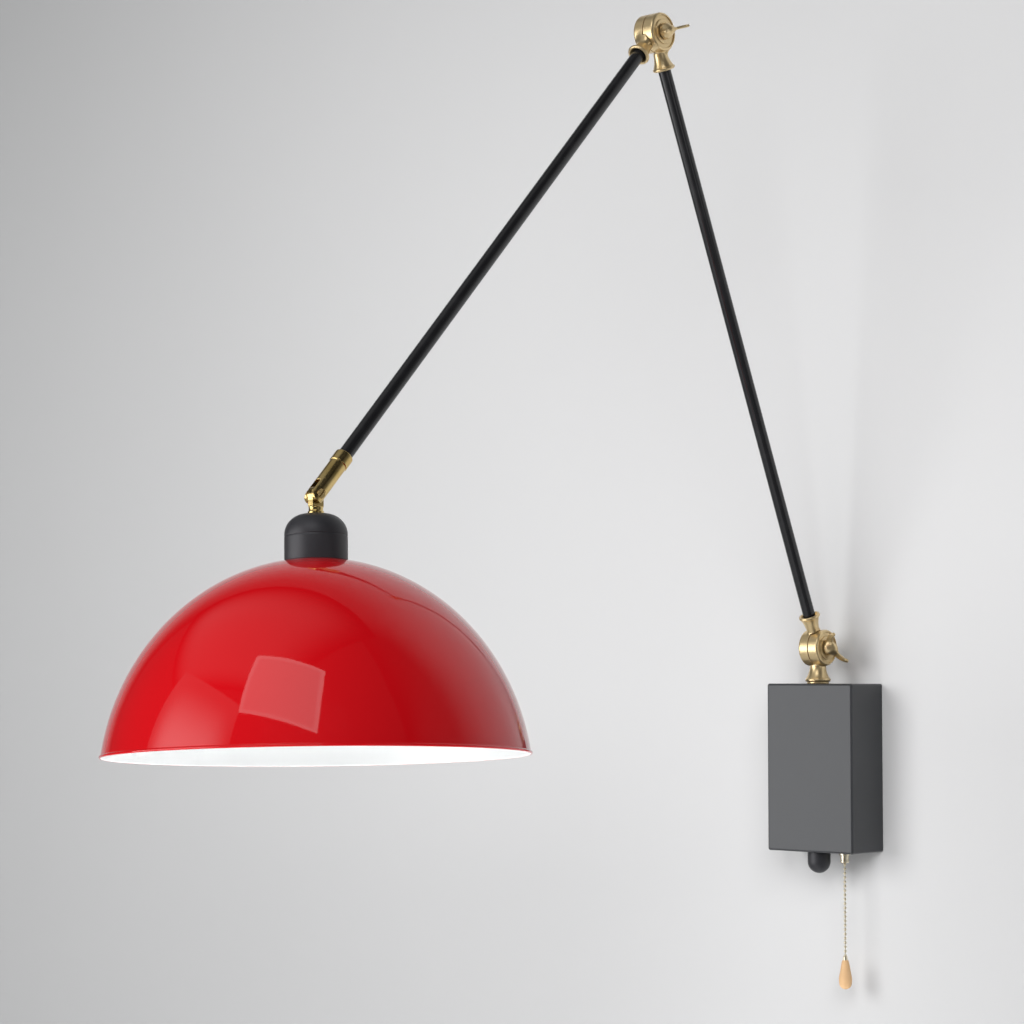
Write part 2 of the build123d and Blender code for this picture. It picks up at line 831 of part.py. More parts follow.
# Ring between the stem and the box
with BuildPart() as swivel_washer:
    with BuildSketch(Plane.XY.offset(half_height)):
        with Locations((0, swivel_y)):
            Circle(swivel_washer_radius)
            Circle(rod_radius, mode=Mode.SUBTRACT)
    extrude(amount=swivel_washer_height)
    rims = swivel_washer.edges().filter_by(GeomType.CIRCLE)
    fillet(rims.sort_by(SortBy.RADIUS)[-2:], radius=swivel_washer_height / 4)
swivel_washer.part.label = "swivel_washer"
export_step(swivel_washer.part, "parts/swivel_washer.step")

# Hollow threaded rod through the box, with a window for the flex
rod_top = half_height + swivel_washer_height + stem_thread_depth
rod_end = -half_height - dome_thread_depth
with BuildPart() as swivel_rod:
    with BuildSketch(Plane.XY.offset(rod_end)):
        with Locations((0, swivel_y)):
            Circle(rod_radius)
            Circle(rod_bore_radius, mode=Mode.SUBTRACT)
    extrude(amount=rod_top - rod_end)
    with BuildSketch(Plane.XZ.offset(swivel_from_wall)):
        with Locations((0, rod_window_z)):
            SlotOverall(rod_window_height, 2 * flex_radius, rotation=90)
    extrude(amount=-2 * rod_radius, mode=Mode.SUBTRACT)
swivel_rod.part.label = "swivel_rod"
export_step(swivel_rod.part, "parts/swivel_rod.step")

# Hexagon nuts that hold the rod against the bushes
with BuildPart() as lock_nuts:
    bush_end = half_inner_height - bush_flange_height
    for foot in (bush_end - nut_height, -bush_end):
        with BuildSketch(Plane.XY.offset(foot)):
            with Locations((0, swivel_y)):
                RegularPolygon(radius=nut_across_flats / 2, side_count=6, major_radius=False)
                Circle(rod_radius, mode=Mode.SUBTRACT)
        extrude(amount=nut_height)
lock_nuts.part.label = "lock_nuts"
export_step(lock_nuts.part, "parts/lock_nuts.step")

# Domed cap nut under the box
with BuildPart() as dome_cap:
    dome_foot = Vector(0, swivel_y, -half_height)
    with BuildSketch(turning_plane(dome_foot, down)):
        with BuildLine():
            straight = dome_height - dome_radius
            Polyline(
                (0, dome_thread_depth),
                (rod_radius, dome_thread_depth),
                (rod_radius, 0),
                (dome_radius, 0),
                (dome_radius, straight),
            )
            ThreePointArc(
                (dome_radius, straight),
                (dome_radius * cos(radians(45)), straight + dome_radius * sin(radians(45))),
                (0, dome_height),
            )
            Line((0, dome_height), (0, dome_thread_depth))
        make_face()
    revolve(axis=Axis(dome_foot, down))
dome_cap.part.label = "dome_cap"
export_step(dome_cap.part, "parts/dome_cap.step")

stem_flex = flex_run(
    lower_pivot,
    down,
    knuckle_radius + lap_gap,
    lower_pivot.Z - rod_window_z,
)
stem_flex.part.label = "stem_flex"
export_step(stem_flex.part, "parts/stem_flex.step")

lower_wing_screw = wing_screw(lower_pivot, lower_wing_angle)
lower_wing_screw.part.label = "lower_wing_screw"
export_step(lower_wing_screw.part, "parts/lower_wing_screw.step")

# Rear arm, from the box knuckle up to the elbow
flex_inner = knuckle_radius + lap_gap
rear_end = rear_arm_length - tube_seat

rear_arm_foot = knuckle_half(lower_pivot, rear_dir, -1, bell_outline)
rear_arm_foot.part.label = "rear_arm_foot"
export_step(rear_arm_foot.part, "parts/rear_arm_foot.step")

rear_arm_tube = arm_tube(lower_pivot, rear_dir, tube_seat, rear_end)
rear_arm_tube.part.label = "rear_arm_tube"
export_step(rear_arm_tube.part, "parts/rear_arm_tube.step")

rear_arm_nipples = arm_nipples(lower_pivot, rear_dir, nipple_stop, rear_arm_length - nipple_stop)
rear_arm_nipples.part.label = "rear_arm_nipples"
export_step(rear_arm_nipples.part, "parts/rear_arm_nipples.step")

rear_arm_flex = flex_run(lower_pivot, rear_dir, flex_inner, rear_arm_length - flex_inner)
rear_arm_flex.part.label = "rear_arm_flex"
export_step(rear_arm_flex.part, "parts/rear_arm_flex.step")

rear_arm_head = knuckle_half(upper_pivot, rear_dir * -1, 1, bell_outline)
rear_arm_head.part.label = "rear_arm_head"
export_step(rear_arm_head.part, "parts/rear_arm_head.step")

upper_friction_washer = friction_washer(upper_pivot)
upper_friction_washer.part.label = "upper_friction_washer"
export_step(upper_friction_washer.part, "parts/upper_friction_washer.step")

upper_wing_screw = wing_screw(upper_pivot, upper_wing_angle)
upper_wing_screw.part.label = "upper_wing_screw"
export_step(upper_wing_screw.part, "parts/upper_wing_screw.step")

# Front arm, from the elbow down to the end swivel
fork_seat = fork_length - fork_socket_depth
fork_nipple_stop = fork_seat - nipple_length / 2
front_end = front_arm_length - fork_seat

front_arm_head = knuckle_half(upper_pivot, front_dir, -1, bell_outline)
front_arm_head.part.label = "front_arm_head"
export_step(front_arm_head.part, "parts/front_arm_head.step")

front_arm_tube = arm_tube(upper_pivot, front_dir, tube_seat, front_end)
front_arm_tube.part.label = "front_arm_tube"
export_step(front_arm_tube.part, "parts/front_arm_tube.step")

front_nipple_end = front_arm_length - fork_nipple_stop
front_arm_nipples = arm_nipples(upper_pivot, front_dir, nipple_stop, front_nipple_end)
front_arm_nipples.part.label = "front_arm_nipples"
export_step(front_arm_nipples.part, "parts/front_arm_nipples.step")

front_arm_flex = flex_run(upper_pivot, front_dir, flex_inner, front_arm_length - fork_slot_depth)
front_arm_flex.part.label = "front_arm_flex"
export_step(front_arm_flex.part, "parts/front_arm_flex.step")

# Fork of the end swivel: a turned sleeve with a rounded, slotted end
slot_width = eye_thickness + 2 * eye_side_gap
with BuildPart() as swivel_fork:
    with BuildSketch(turning_plane(end_pivot, fork_dir, hinge_dir)):
        with BuildLine():
            Polyline(
                (0, -fork_radius),
                (fork_radius, -fork_radius),
                (fork_radius, fork_length - fork_collar_length),
                (fork_collar_radius, fork_length - fork_collar_length + fork_collar_radius - fork_radius),
                (fork_collar_radius, fork_length),
                (tube_radius, fork_length),
                (tube_radius, fork_seat),
                (tube_bore_radius, fork_seat),
                (tube_bore_radius, fork_nipple_stop),
                (flex_radius, fork_nipple_stop),
                (flex_radius, fork_slot_depth),
                (0, fork_slot_depth),
                close=True,
            )
        make_face()
    revolve(axis=Axis(end_pivot, fork_dir))
    with BuildSketch(cross_plane(end_pivot, hinge_dir, fork_dir)):
        Circle(fork_radius)
        with Locations((fork_length / 2, 0)):
            Rectangle(fork_length, 2 * fork_collar_radius)
    extrude(amount=fork_collar_radius, both=True, mode=Mode.INTERSECT)
    with BuildSketch(cross_plane(end_pivot, hinge_dir, fork_dir)):
        with Locations((0, 0)):
            Rectangle(2 * fork_slot_depth, 3 * fork_radius)
    extrude(amount=slot_width / 2, both=True, mode=Mode.SUBTRACT)
    with BuildSketch(cross_plane(end_pivot, hinge_dir, fork_dir)):
        Circle(swivel_screw_radius)
    extrude(amount=fork_radius, both=True, mode=Mode.SUBTRACT)
    head_seat = fork_radius - swivel_screw_head_height
    with BuildSketch(cross_plane(end_pivot + hinge_dir * head_seat, hinge_dir, fork_dir)):
        Circle(swivel_screw_head_radius)
    extrude(amount=fork_radius, mode=Mode.SUBTRACT)
swivel_fork.part.label = "swivel_fork"
export_step(swivel_fork.part, "parts/swivel_fork.step")

# Screw that the tongue turns on
with BuildPart() as swivel_screw:
    with BuildSketch(cross_plane(end_pivot - hinge_dir * head_seat, hinge_dir, fork_dir)):
        Circle(swivel_screw_radius)
    extrude(amount=2 * head_seat)
    with BuildSketch(cross_plane(end_pivot + hinge_dir * head_seat, hinge_dir, fork_dir)):
        Circle(swivel_screw_head_radius)
    extrude(amount=swivel_screw_head_height)
    top = cross_plane(end_pivot + hinge_dir * fork_radius, hinge_dir, fork_dir)
    with BuildSketch(top):
        Rectangle(2 * swivel_screw_head_radius, swivel_screw_slot)
    extrude(amount=-swivel_screw_slot, mode=Mode.SUBTRACT)
swivel_screw.part.label = "swivel_screw"
export_step(swivel_screw.part, "parts/swivel_screw.step")

# Tongue of the end swivel, with the hollow stud that carries the holder
with BuildPart() as swivel_tongue:
    with BuildSketch(cross_plane(end_pivot, hinge_dir, shade_dir)):
        Circle(eye_radius)
        with Locations((tongue_shoulder / 2, 0)):
            Rectangle(tongue_shoulder, tongue_width)
        Circle(swivel_screw_radius + running_gap, mode=Mode.SUBTRACT)
    extrude(amount=eye_thickness / 2, both=True)
    with BuildSketch(turning_plane(end_pivot, shade_dir, hinge_dir)):
        with BuildLine():
            Polyline(
                (0, tongue_shoulder),
                (tongue_width / 2, tongue_shoulder),
                (tongue_width / 2, (tongue_shoulder + cap_drop) / 2),
                (tongue_collar_radius, cap_drop - tongue_collar_length),
                (tongue_collar_radius, cap_drop),
                (stud_radius, cap_drop),
                (stud_radius, cap_drop + tongue_stud_length),
                (0, cap_drop + tongue_stud_length),
                close=True,
            )
        make_face()
    revolve(axis=Axis(end_pivot, shade_dir))
    with BuildSketch(cross_plane(end_pivot + shade_dir * tongue_shoulder, shade_dir, hinge_dir)):
        Circle(tongue_bore_radius)
    extrude(amount=cap_drop + tongue_stud_length, mode=Mode.SUBTRACT)
swivel_tongue.part.label = "swivel_tongue"
export_step(swivel_tongue.part, "parts/swivel_tongue.step")

# Cover of the lamp holder
shade_plane = turning_plane(end_pivot, shade_dir, hinge_dir)
shade_axis = Axis(end_pivot, shade_dir)
seat = cap_drop + cap_height


def shoulder(radius, start, bend):
    """Quarter arc from the top of the cover to its side."""
    middle = bend * (1 - sin(radians(45)))
    ThreePointArc(
        (radius - bend, start),
        (radius - middle, start + middle),
        (radius, start + bend),
    )


with BuildPart() as holder_cap:
    with BuildSketch(shade_plane):
        with BuildLine():
            inner_radius = cap_radius - cap_wall
            inner_bend = cap_shoulder_radius - cap_wall
            Line((stud_radius, cap_drop), (cap_radius - cap_shoulder_radius, cap_drop))
            shoulder(cap_radius, cap_drop, cap_shoulder_radius)
            Polyline(
                (cap_radius, cap_drop + cap_shoulder_radius),
                (cap_radius, seat),
                (inner_radius, seat),
                (inner_radius, cap_drop + cap_wall + inner_bend),
            )
            shoulder(inner_radius, cap_drop + cap_wall, inner_bend)
            Polyline(
                (inner_radius - inner_bend, cap_drop + cap_wall),
                (stud_radius, cap_drop + cap_wall),
                (stud_radius, cap_drop),
            )
        make_face()
    revolve(axis=shade_axis)
holder_cap.part.label = "holder_cap"
export_step(holder_cap.part, "parts/holder_cap.step")

# Lamp holder: a moulded body whose threaded skirt passes through the shade
holder_top = cap_drop + cap_wall
holder_end = seat + holder_below_seat
shell_start = holder_end - holder_mouth_chamfer - socket_shell_length
core_radius = socket_radius + socket_shell_wall
floor = shell_start - 2 * contact_height
with BuildPart() as lamp_holder:
    with BuildSketch(shade_plane):
        with BuildLine():
            Polyline(
                (stud_radius, holder_top),
                (cap_radius - cap_shoulder_radius, holder_top),
                (holder_radius, holder_top + cap_shoulder_radius),
                (holder_radius, holder_end),
                (core_radius + holder_mouth_chamfer, holder_end),
                (core_radius, holder_end - holder_mouth_chamfer),
                (core_radius, floor),
                (stud_radius, floor),
                (stud_radius, holder_top),
            )
        make_face()
    revolve(axis=shade_axis)
lamp_holder.part.label = "lamp_holder"
export_step(lamp_holder.part, "parts/lamp_holder.step")

# Threaded shell of the socket and the centre contact above it
with BuildPart() as holder_shell:
    with BuildSketch(cross_plane(end_pivot + shade_dir * shell_start, shade_dir, hinge_dir)):
        Circle(core_radius)
        Circle(socket_radius, mode=Mode.SUBTRACT)
    extrude(amount=socket_shell_length)
holder_shell.part.label = "holder_shell"
export_step(holder_shell.part, "parts/holder_shell.step")

with BuildPart() as holder_contact:
    with BuildSketch(cross_plane(end_pivot + shade_dir * floor, shade_dir, hinge_dir)):
        Circle(core_radius)
    extrude(amount=contact_height)
    button = end_pivot + shade_dir * (floor + contact_height)
    with BuildSketch(cross_plane(button, shade_dir, hinge_dir)):
        Circle(contact_radius)
    extrude(amount=contact_height)
    fillet(holder_contact.edges().sort_by(shade_axis)[-1], radius=contact_height / 2)
holder_contact.part.label = "holder_contact"
export_step(holder_contact.part, "parts/holder_contact.step")

# Shade: a spun dome on an ellipse through the seat and the rim, with a rolled hem
rim = seat + shade_depth
bulge = shade_depth + shade_bulge_drop
pivot_term = (shade_seat_radius * shade_bulge_drop) ** 2 - (bulge * shade_rim_radius) ** 2
dome_across = 1 / sqrt((shade_bulge_drop**2 - bulge**2) / pivot_term)
dome_along = 1 / sqrt((shade_seat_radius**2 - shade_rim_radius**2) / pivot_term)


def dome_radius_at(distance, inset):
    """Radius of the dome at a distance below the pivot, inset from its outside."""
    share = (rim + shade_bulge_drop - distance) / (dome_along - inset)
    return (dome_across - inset) * sqrt(1 - share**2)


def dome_arc(inset, start, end):
    """Stretch of the dome's ellipse between two distances below the pivot."""
    return Spline(
        [
            (dome_radius_at(start + (end - start) * (i / dome_station_count) ** 2, inset),
             start + (end - start) * (i / dome_station_count) ** 2)
            for i in range(dome_station_count + 1)
        ]
    )


with BuildPart() as shade:
    with BuildSketch(shade_plane):
        with BuildLine():
            outer_curve = dome_arc(0, seat, rim)
            inner_curve = dome_arc(shade_wall, seat + shade_wall, rim)
            Line(outer_curve @ 1, inner_curve @ 1)
            Polyline(
                outer_curve @ 0,
                (holder_radius, seat),
                (holder_radius, seat + shade_wall),
                inner_curve @ 0,
            )
        make_face()
        with Locations((shade_rim_radius, rim - shade_hem_radius)):
            Circle(shade_hem_radius)
    revolve(axis=shade_axis)
shade.part.label = "shade"
export_step(shade.part, "parts/shade.step")

# Notched ring that clamps the shade up against the cover
with BuildPart() as shade_ring:
    ring_top = seat + shade_wall
    with BuildSketch(shade_plane):
        Polygon(
            (holder_radius, ring_top),
            (shade_seat_radius - shade_ring_relief, ring_top),
            (shade_ring_radius, ring_top + 2 * shade_ring_relief),
            (shade_ring_radius, ring_top + shade_ring_height),
            (holder_radius, ring_top + shade_ring_height),
            align=None,
        )
    revolve(axis=shade_axis)
    with BuildSketch(cross_plane(end_pivot + shade_dir * ring_top, shade_dir, hinge_dir)):
        with PolarLocations(shade_ring_radius, shade_ring_notch_count):
            Circle(shade_ring_notch_radius)
    extrude(amount=shade_ring_height, mode=Mode.SUBTRACT)
shade_ring.part.label = "shade_ring"
export_step(shade_ring.part, "parts/shade_ring.step")

# Pull chain and its wooden drop
chain_top = bead_strand(first_bead_z, top_bead_count, bead_pitch - 2 * bead_radius)
chain_top.part.label = "chain_top"
export_step(chain_top.part, "parts/chain_top.step")

lower_bead_z = first_bead_z - top_bead_count * bead_pitch
bead_chain = bead_strand(lower_bead_z, bead_count - top_bead_count, 0)
bead_chain.part.label = "bead_chain"
export_step(bead_chain.part, "parts/bead_chain.step")

coupling_top = first_bead_z - (bead_count - 1) * bead_pitch
with BuildPart() as chain_coupling:
    with BuildSketch(turning_plane(Vector(switch_x, switch_y, coupling_top), down)):
        with BuildLine():
            Polyline(
                (bead_radius, 0),
                (coupling_radius, coupling_height / 4),
                (coupling_radius, coupling_height),
                (0, coupling_height),
                (0, bead_radius),
            )
            CenterArc((0, 0), bead_radius, 0, 90)
        make_face()
    revolve(axis=Axis((switch_x, switch_y, coupling_top), (0, 0, -1)))
chain_coupling.part.label = "chain_coupling"
export_step(chain_coupling.part, "parts/chain_coupling.step")

pendant_top = coupling_top - coupling_height
with BuildPart() as pendant:
    with BuildSketch(turning_plane(Vector(switch_x, switch_y, pendant_top), down)):
        with BuildLine():
            Line((0, 0), (pendant_neck_radius, 0))
            Spline(
                (pendant_neck_radius, 0),
                (pendant_radius * 0.8, pendant_height * 0.38),
                (pendant_radius, pendant_height * 0.68),
                (pendant_radius * 0.76, pendant_height * 0.92),
                (0, pendant_height),
                tangents=((0.25, 1), (-1, 0)),
            )
            Line((0, pendant_height), (0, 0))
        make_face()
    revolve(axis=Axis((switch_x, switch_y, pendant_top), (0, 0, -1)))
pendant.part.label = "pendant"
export_step(pendant.part, "parts/pendant.step")
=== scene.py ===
import json
import logging
import math
from dataclasses import dataclass, field
from enum import Enum
from typing import Callable, Optional, Sequence, Union

import bpy
import numpy as np
from mathutils import Matrix, Vector

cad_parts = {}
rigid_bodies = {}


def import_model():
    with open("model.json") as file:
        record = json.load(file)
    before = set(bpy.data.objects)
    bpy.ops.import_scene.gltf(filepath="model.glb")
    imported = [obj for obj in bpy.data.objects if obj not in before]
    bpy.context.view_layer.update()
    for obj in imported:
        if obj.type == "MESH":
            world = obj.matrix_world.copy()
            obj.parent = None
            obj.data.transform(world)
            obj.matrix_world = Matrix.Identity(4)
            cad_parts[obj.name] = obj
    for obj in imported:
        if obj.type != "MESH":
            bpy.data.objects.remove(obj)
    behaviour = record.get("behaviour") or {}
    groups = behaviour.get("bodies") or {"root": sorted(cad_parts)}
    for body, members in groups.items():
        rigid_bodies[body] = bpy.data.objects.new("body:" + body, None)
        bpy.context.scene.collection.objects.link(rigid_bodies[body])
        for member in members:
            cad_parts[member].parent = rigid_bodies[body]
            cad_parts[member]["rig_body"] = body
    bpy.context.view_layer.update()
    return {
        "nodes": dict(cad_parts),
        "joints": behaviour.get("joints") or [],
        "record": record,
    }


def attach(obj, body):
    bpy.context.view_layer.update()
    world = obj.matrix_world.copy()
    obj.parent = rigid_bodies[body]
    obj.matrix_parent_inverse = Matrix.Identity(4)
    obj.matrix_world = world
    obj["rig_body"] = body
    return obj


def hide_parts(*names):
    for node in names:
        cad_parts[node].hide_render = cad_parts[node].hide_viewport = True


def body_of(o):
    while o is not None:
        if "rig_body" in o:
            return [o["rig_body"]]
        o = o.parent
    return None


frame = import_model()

log = logging.getLogger("lamp")

MM = 0.001
FRAME_PIXELS = 1024
SENSOR_WIDTH = 36.0
RIGHT = Vector((1.0, 0.0, 0.0))
UP = Vector((0.0, 0.0, 1.0))
DOWN = Vector((0.0, 0.0, -1.0))

Colour = tuple[float, float, float]
Pair = tuple[float, float]


# Places in the frame


@dataclass(frozen=True)
class Place:
    """Origin and right-handed axes of a piece in the frame, with z along the piece."""

    origin: Vector
    x: Vector
    y: Vector
    z: Vector

    @classmethod
    def along(cls, origin: Vector, direction: Vector, across: Vector) -> "Place":
        """Makes a place from an origin, a direction and a hint of what lies across it.

        Args:
            origin: Point in the frame, in metres.
            direction: Direction of z.
            across: Direction near that of x.

        Returns:
            The place, with x square to z.
        """
        z = direction.normalized()
        x = (across - across.dot(z) * z).normalized()
        return cls(origin, x, z.cross(x), z)

    def moved(self, x: float = 0.0, y: float = 0.0, z: float = 0.0) -> "Place":
        """Returns the same place moved by local millimetres."""
        shift = (self.x * x + self.y * y + self.z * z) * MM
        return Place(self.origin + shift, self.x, self.y, self.z)

    def points(self, local: np.ndarray) -> np.ndarray:
        """Returns the frame points of an array of local millimetres."""
        return np.array(self.origin) + local @ self.turn() * MM

    def turn(self) -> np.ndarray:
        """Returns the matrix that turns row vectors from local axes to the frame's."""
        return np.array([self.x, self.y, self.z])


def joint_point(name: str) -> Vector:
    """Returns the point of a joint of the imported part."""
    return Vector(next(j["pos_m"] for j in frame["joints"] if j["name"] == name))


def joint_axis(name: str) -> Vector:
    """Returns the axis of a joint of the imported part."""
    return Vector(next(j["axis"] for j in frame["joints"] if j["name"] == name))


def mount_axis(name: str) -> Vector:
    """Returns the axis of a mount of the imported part."""
    return Vector(next(m["axis"] for m in frame["record"]["mounts"] if m["name"] == name))


# Outlines in two directions


def arc(start: Pair, middle: Pair, end: Pair, steps: int = 12) -> list[Pair]:
    """Points on the arc through three points.

    Args:
        start: First point.
        middle: Point on the arc.
        end: Last point.
        steps: Number of chords.

    Returns:
        The points, both ends among them.
    """
    a, b, c = complex(*start), complex(*middle), complex(*end)
    w = (c - a) / (b - a)
    centre = a - (a - b) * (w - abs(w) ** 2) / (2j * w.imag)
    turns = np.unwrap([np.angle(p - centre) for p in (a, b, c)])
    spread = np.exp(1j * np.linspace(turns[0], turns[2], steps + 1)) * abs(a - centre)
    return [(float(p.real), float(p.imag)) for p in centre + spread]


def leaving_arc(start: Pair, heading: Pair, end: Pair, steps: int = 12) -> list[Pair]:
    """Points on the arc that leaves a point in a direction and ends at another point.

    Args:
        start: First point.
        heading: Unit direction in which the arc leaves it.
        end: Last point.
        steps: Number of chords.

    Returns:
        The points, both ends among them.
    """
    a, b = complex(*start), complex(*end)
    side = complex(*heading) * 1j
    chord = b - a
    radius = abs(chord) ** 2 / (2 * (side.real * chord.real + side.imag * chord.imag))
    centre = a + side * radius
    turns = np.unwrap([np.angle(a - centre), np.angle(b - centre)])
    spread = np.exp(1j * np.linspace(turns[0], turns[1], steps + 1)) * abs(radius)
    return [(float(p.real), float(p.imag)) for p in centre + spread]


def rounded(corners: Sequence[tuple[float, float, float]], closed: bool, steps: int = 5) -> list[Pair]:
    """Rounds the corners of an outline.

    Args:
        corners: Two coordinates and a rounding radius for each corner.
        closed: Whether the last corner joins the first.
        steps: Chords of each rounding.

    Returns:
        The points of the rounded outline.
    """
    points = [complex(c[0], c[1]) for c in corners]
    made: list[Pair] = []
    for i, (point, corner) in enumerate(zip(points, corners)):
        if corner[2] <= 0 or (not closed and i in (0, len(points) - 1)):
            made.append((point.real, point.imag))
            continue
        before, after = points[i - 1] - point, points[(i + 1) % len(points)] - point
        half = abs(np.angle(after / before)) / 2
        reach = min(corner[2] / math.tan(half), 0.48 * min(abs(before), abs(after)))
        radius = reach * math.tan(half)
        bisector = before / abs(before) + after / abs(after)
        centre = point + bisector / abs(bisector) * radius / math.sin(half)
        touch = [point + v / abs(v) * reach - centre for v in (before, after)]
        turns = np.unwrap([np.angle(t) for t in touch])
        for turn in np.linspace(turns[0], turns[1], steps + 1):
            spot = centre + radius * np.exp(1j * turn)
            made.append((float(spot.real), float(spot.imag)))
    return made


# Solids given by their distance, for cast and milled pieces


def outline_distance(points: np.ndarray, outline: Sequence[Pair]) -> np.ndarray:
    """Signed distance to a closed outline.

    Args:
        points: Points in the outline's two coordinates.
        outline: Corners of the outline.

    Returns:
        The distance of each point, negative inside.
    """
    corners = np.array(outline)
    nearest = np.full(len(points), np.inf)
    inside = np.zeros(len(points), bool)
    for a, b in zip(corners, np.roll(corners, -1, axis=0)):
        edge, away = b - a, points - a
        share = np.clip(away @ edge / max(edge @ edge, 1e-12), 0.0, 1.0)
        nearest = np.minimum(nearest, ((away - share[:, None] * edge) ** 2).sum(axis=1))
        if edge[1]:
            level = (a[1] > points[:, 1]) != (b[1] > points[:, 1])
            inside ^= level & (points[:, 0] < edge[0] * away[:, 1] / edge[1] + a[0])
    return np.where(inside, -1.0, 1.0) * np.sqrt(nearest)


@dataclass(frozen=True)
class Form:
    """Solid given by its signed distance at local millimetres, negative inside."""

    distance: Callable[[np.ndarray], np.ndarray]

    def joined(self, other: "Form", soft: float) -> "Form":
        """Returns both solids as one, with a fillet of that radius between them."""

        def both(p: np.ndarray) -> np.ndarray:
            """Distance to the joined solids."""
            a, b = self.distance(p), other.distance(p)
            near = np.hypot(np.maximum(soft - a, 0), np.maximum(soft - b, 0))
            return np.maximum(soft, np.minimum(a, b)) - near

        return Form(both)

    def shared(self, other: "Form", soft: float) -> "Form":
        """Returns what both solids share, with its new edges rounded to that radius."""

        def both(p: np.ndarray) -> np.ndarray:
            """Distance to the shared solid."""
            a, b = self.distance(p), other.distance(p)
            far = np.hypot(np.maximum(soft + a, 0), np.maximum(soft + b, 0))
            return np.minimum(-soft, np.maximum(a, b)) + far

        return Form(both)

    def cut(self, other: "Form", soft: float) -> "Form":
        """Returns this solid without the other, with the new edges rounded to that radius."""
        return self.shared(Form(lambda p: -other.distance(p)), soft)


def bar(axis: int, radius: float) -> Form:
    """Endless round bar along a local axis."""
    a, b = [i for i in range(3) if i != axis]
    return Form(lambda p: np.hypot(p[:, a], p[:, b]) - radius)


def slab(axis: int, low: float, high: float) -> Form:
    """Endless slab between two heights on a local axis."""
    middle, half = (low + high) / 2, (high - low) / 2
    return Form(lambda p: np.abs(p[:, axis] - middle) - half)


def pin(axis: int, radius: float, low: float, high: float, soft: float = 0.0) -> Form:
    """Round pin along a local axis, with its edges rounded."""
    return bar(axis, radius).shared(slab(axis, low, high), soft)


def turned(outline: Sequence[Pair]) -> Form:
    """Solid turned about local z from an outline of radius and height that starts and ends on the axis."""
    whole = list(outline) + [(-r, z) for r, z in reversed(outline)]
    return Form(lambda p: outline_distance(np.column_stack((np.hypot(p[:, 0], p[:, 1]), p[:, 2])), whole))


def blade(outline: Sequence[Pair], half: float, soft: float) -> Form:
    """Flat blade with its outline in local x and z and its thickness along y."""
    flat = Form(lambda p: outline_distance(p[:, (0, 2)], outline))
    return flat.shared(slab(1, -half, half), soft)


@dataclass(frozen=True)
class Grid:
    """Box of space, in local millimetres, in which a form is turned into a mesh."""

    low: tuple[float, float, float]
    high: tuple[float, float, float]
    step: float

    def distances(self, form: Form, block: int = 6) -> np.ndarray:
        """Reads a form's distance at the grid's points, closely only in blocks that its surface may cross.

        Args:
            form: Solid that lies inside the box.
            block: Points along the side of a block.

        Returns:
            The distances, as far as the middle of its block for a point away from the surface.
        """
        axes = [np.arange(a, b + self.step, self.step) for a, b in zip(self.low, self.high)]
        grid = np.stack(np.meshgrid(*axes, indexing="ij"), axis=-1)
        middles = [a[0] + self.step * ((block - 1) / 2 + np.arange(0, len(a), block)) for a in axes]
        coarse = np.stack(np.meshgrid(*middles, indexing="ij"), axis=-1)
        values = form.distance(coarse.reshape(-1, 3)).reshape(coarse.shape[:3])
        for axis in range(3):
            values = values.repeat(block, axis=axis)
        values = values[tuple(slice(0, n) for n in grid.shape[:3])].copy()
        near = np.abs(values) < self.step * block
        values[near] = form.distance(grid[near])
        return values

    def surface(self, form: Form) -> "Skin":
        """Lays a net of quads over a form.

        Args:
            form: Solid that lies inside the box.

        Returns:
            The mesh, with its corners moved onto the surface.
        """
        values = self.distances(form)
        inside = values < 0
        size = np.array(values.shape) - 1
        corners = [(i, j, k) for i in (0, 1) for j in (0, 1) for k in (0, 1)]
        count = sum(inside[i:i + size[0], j:j + size[1], k:k + size[2]].astype(int) for i, j, k in corners)
        active = np.argwhere((count > 0) & (count < len(corners)))
        number = np.full(size, -1)
        number[tuple(active.T)] = np.arange(len(active))
        total, weight = np.zeros((len(active), 3)), np.zeros(len(active))
        for start in corners:
            for axis in range(3):
                if start[axis]:
                    continue
                end = tuple(1 if i == axis else s for i, s in enumerate(start))
                a = values[tuple((active + start).T)]
                b = values[tuple((active + end).T)]
                crossed = (a < 0) != (b < 0)
                share = np.where(crossed, a / np.where(crossed, a - b, 1.0), 0.0)
                spot = active + np.array(start) + share[:, None] * (np.arange(3) == axis)
                total += np.where(crossed[:, None], spot, 0.0)
                weight += crossed
        points = np.array(self.low) + total / weight[:, None] * self.step
        faces = []
        for axis in range(3):
            u, v = (axis + 1) % 3, (axis + 2) % 3
            ahead = np.roll(inside, -1, axis=axis)
            span = [slice(1, -1)] * 3
            span[axis] = slice(0, -1)
            crossing = np.zeros(inside.shape, bool)
            crossing[tuple(span)] = (inside != ahead)[tuple(span)]
            cells = np.argwhere(crossing)
            ring = []
            for du, dv in ((1, 1), (0, 1), (0, 0), (1, 0)):
                cell = cells.copy()
                cell[:, u] -= du
                cell[:, v] -= dv
                ring.append(number[tuple(cell.T)])
            quads = np.column_stack(ring)
            outward = inside[tuple(cells.T)]
            faces.append(quads[outward])
            faces.append(quads[~outward][:, ::-1])
        return Skin.on(form, points, np.concatenate(faces))


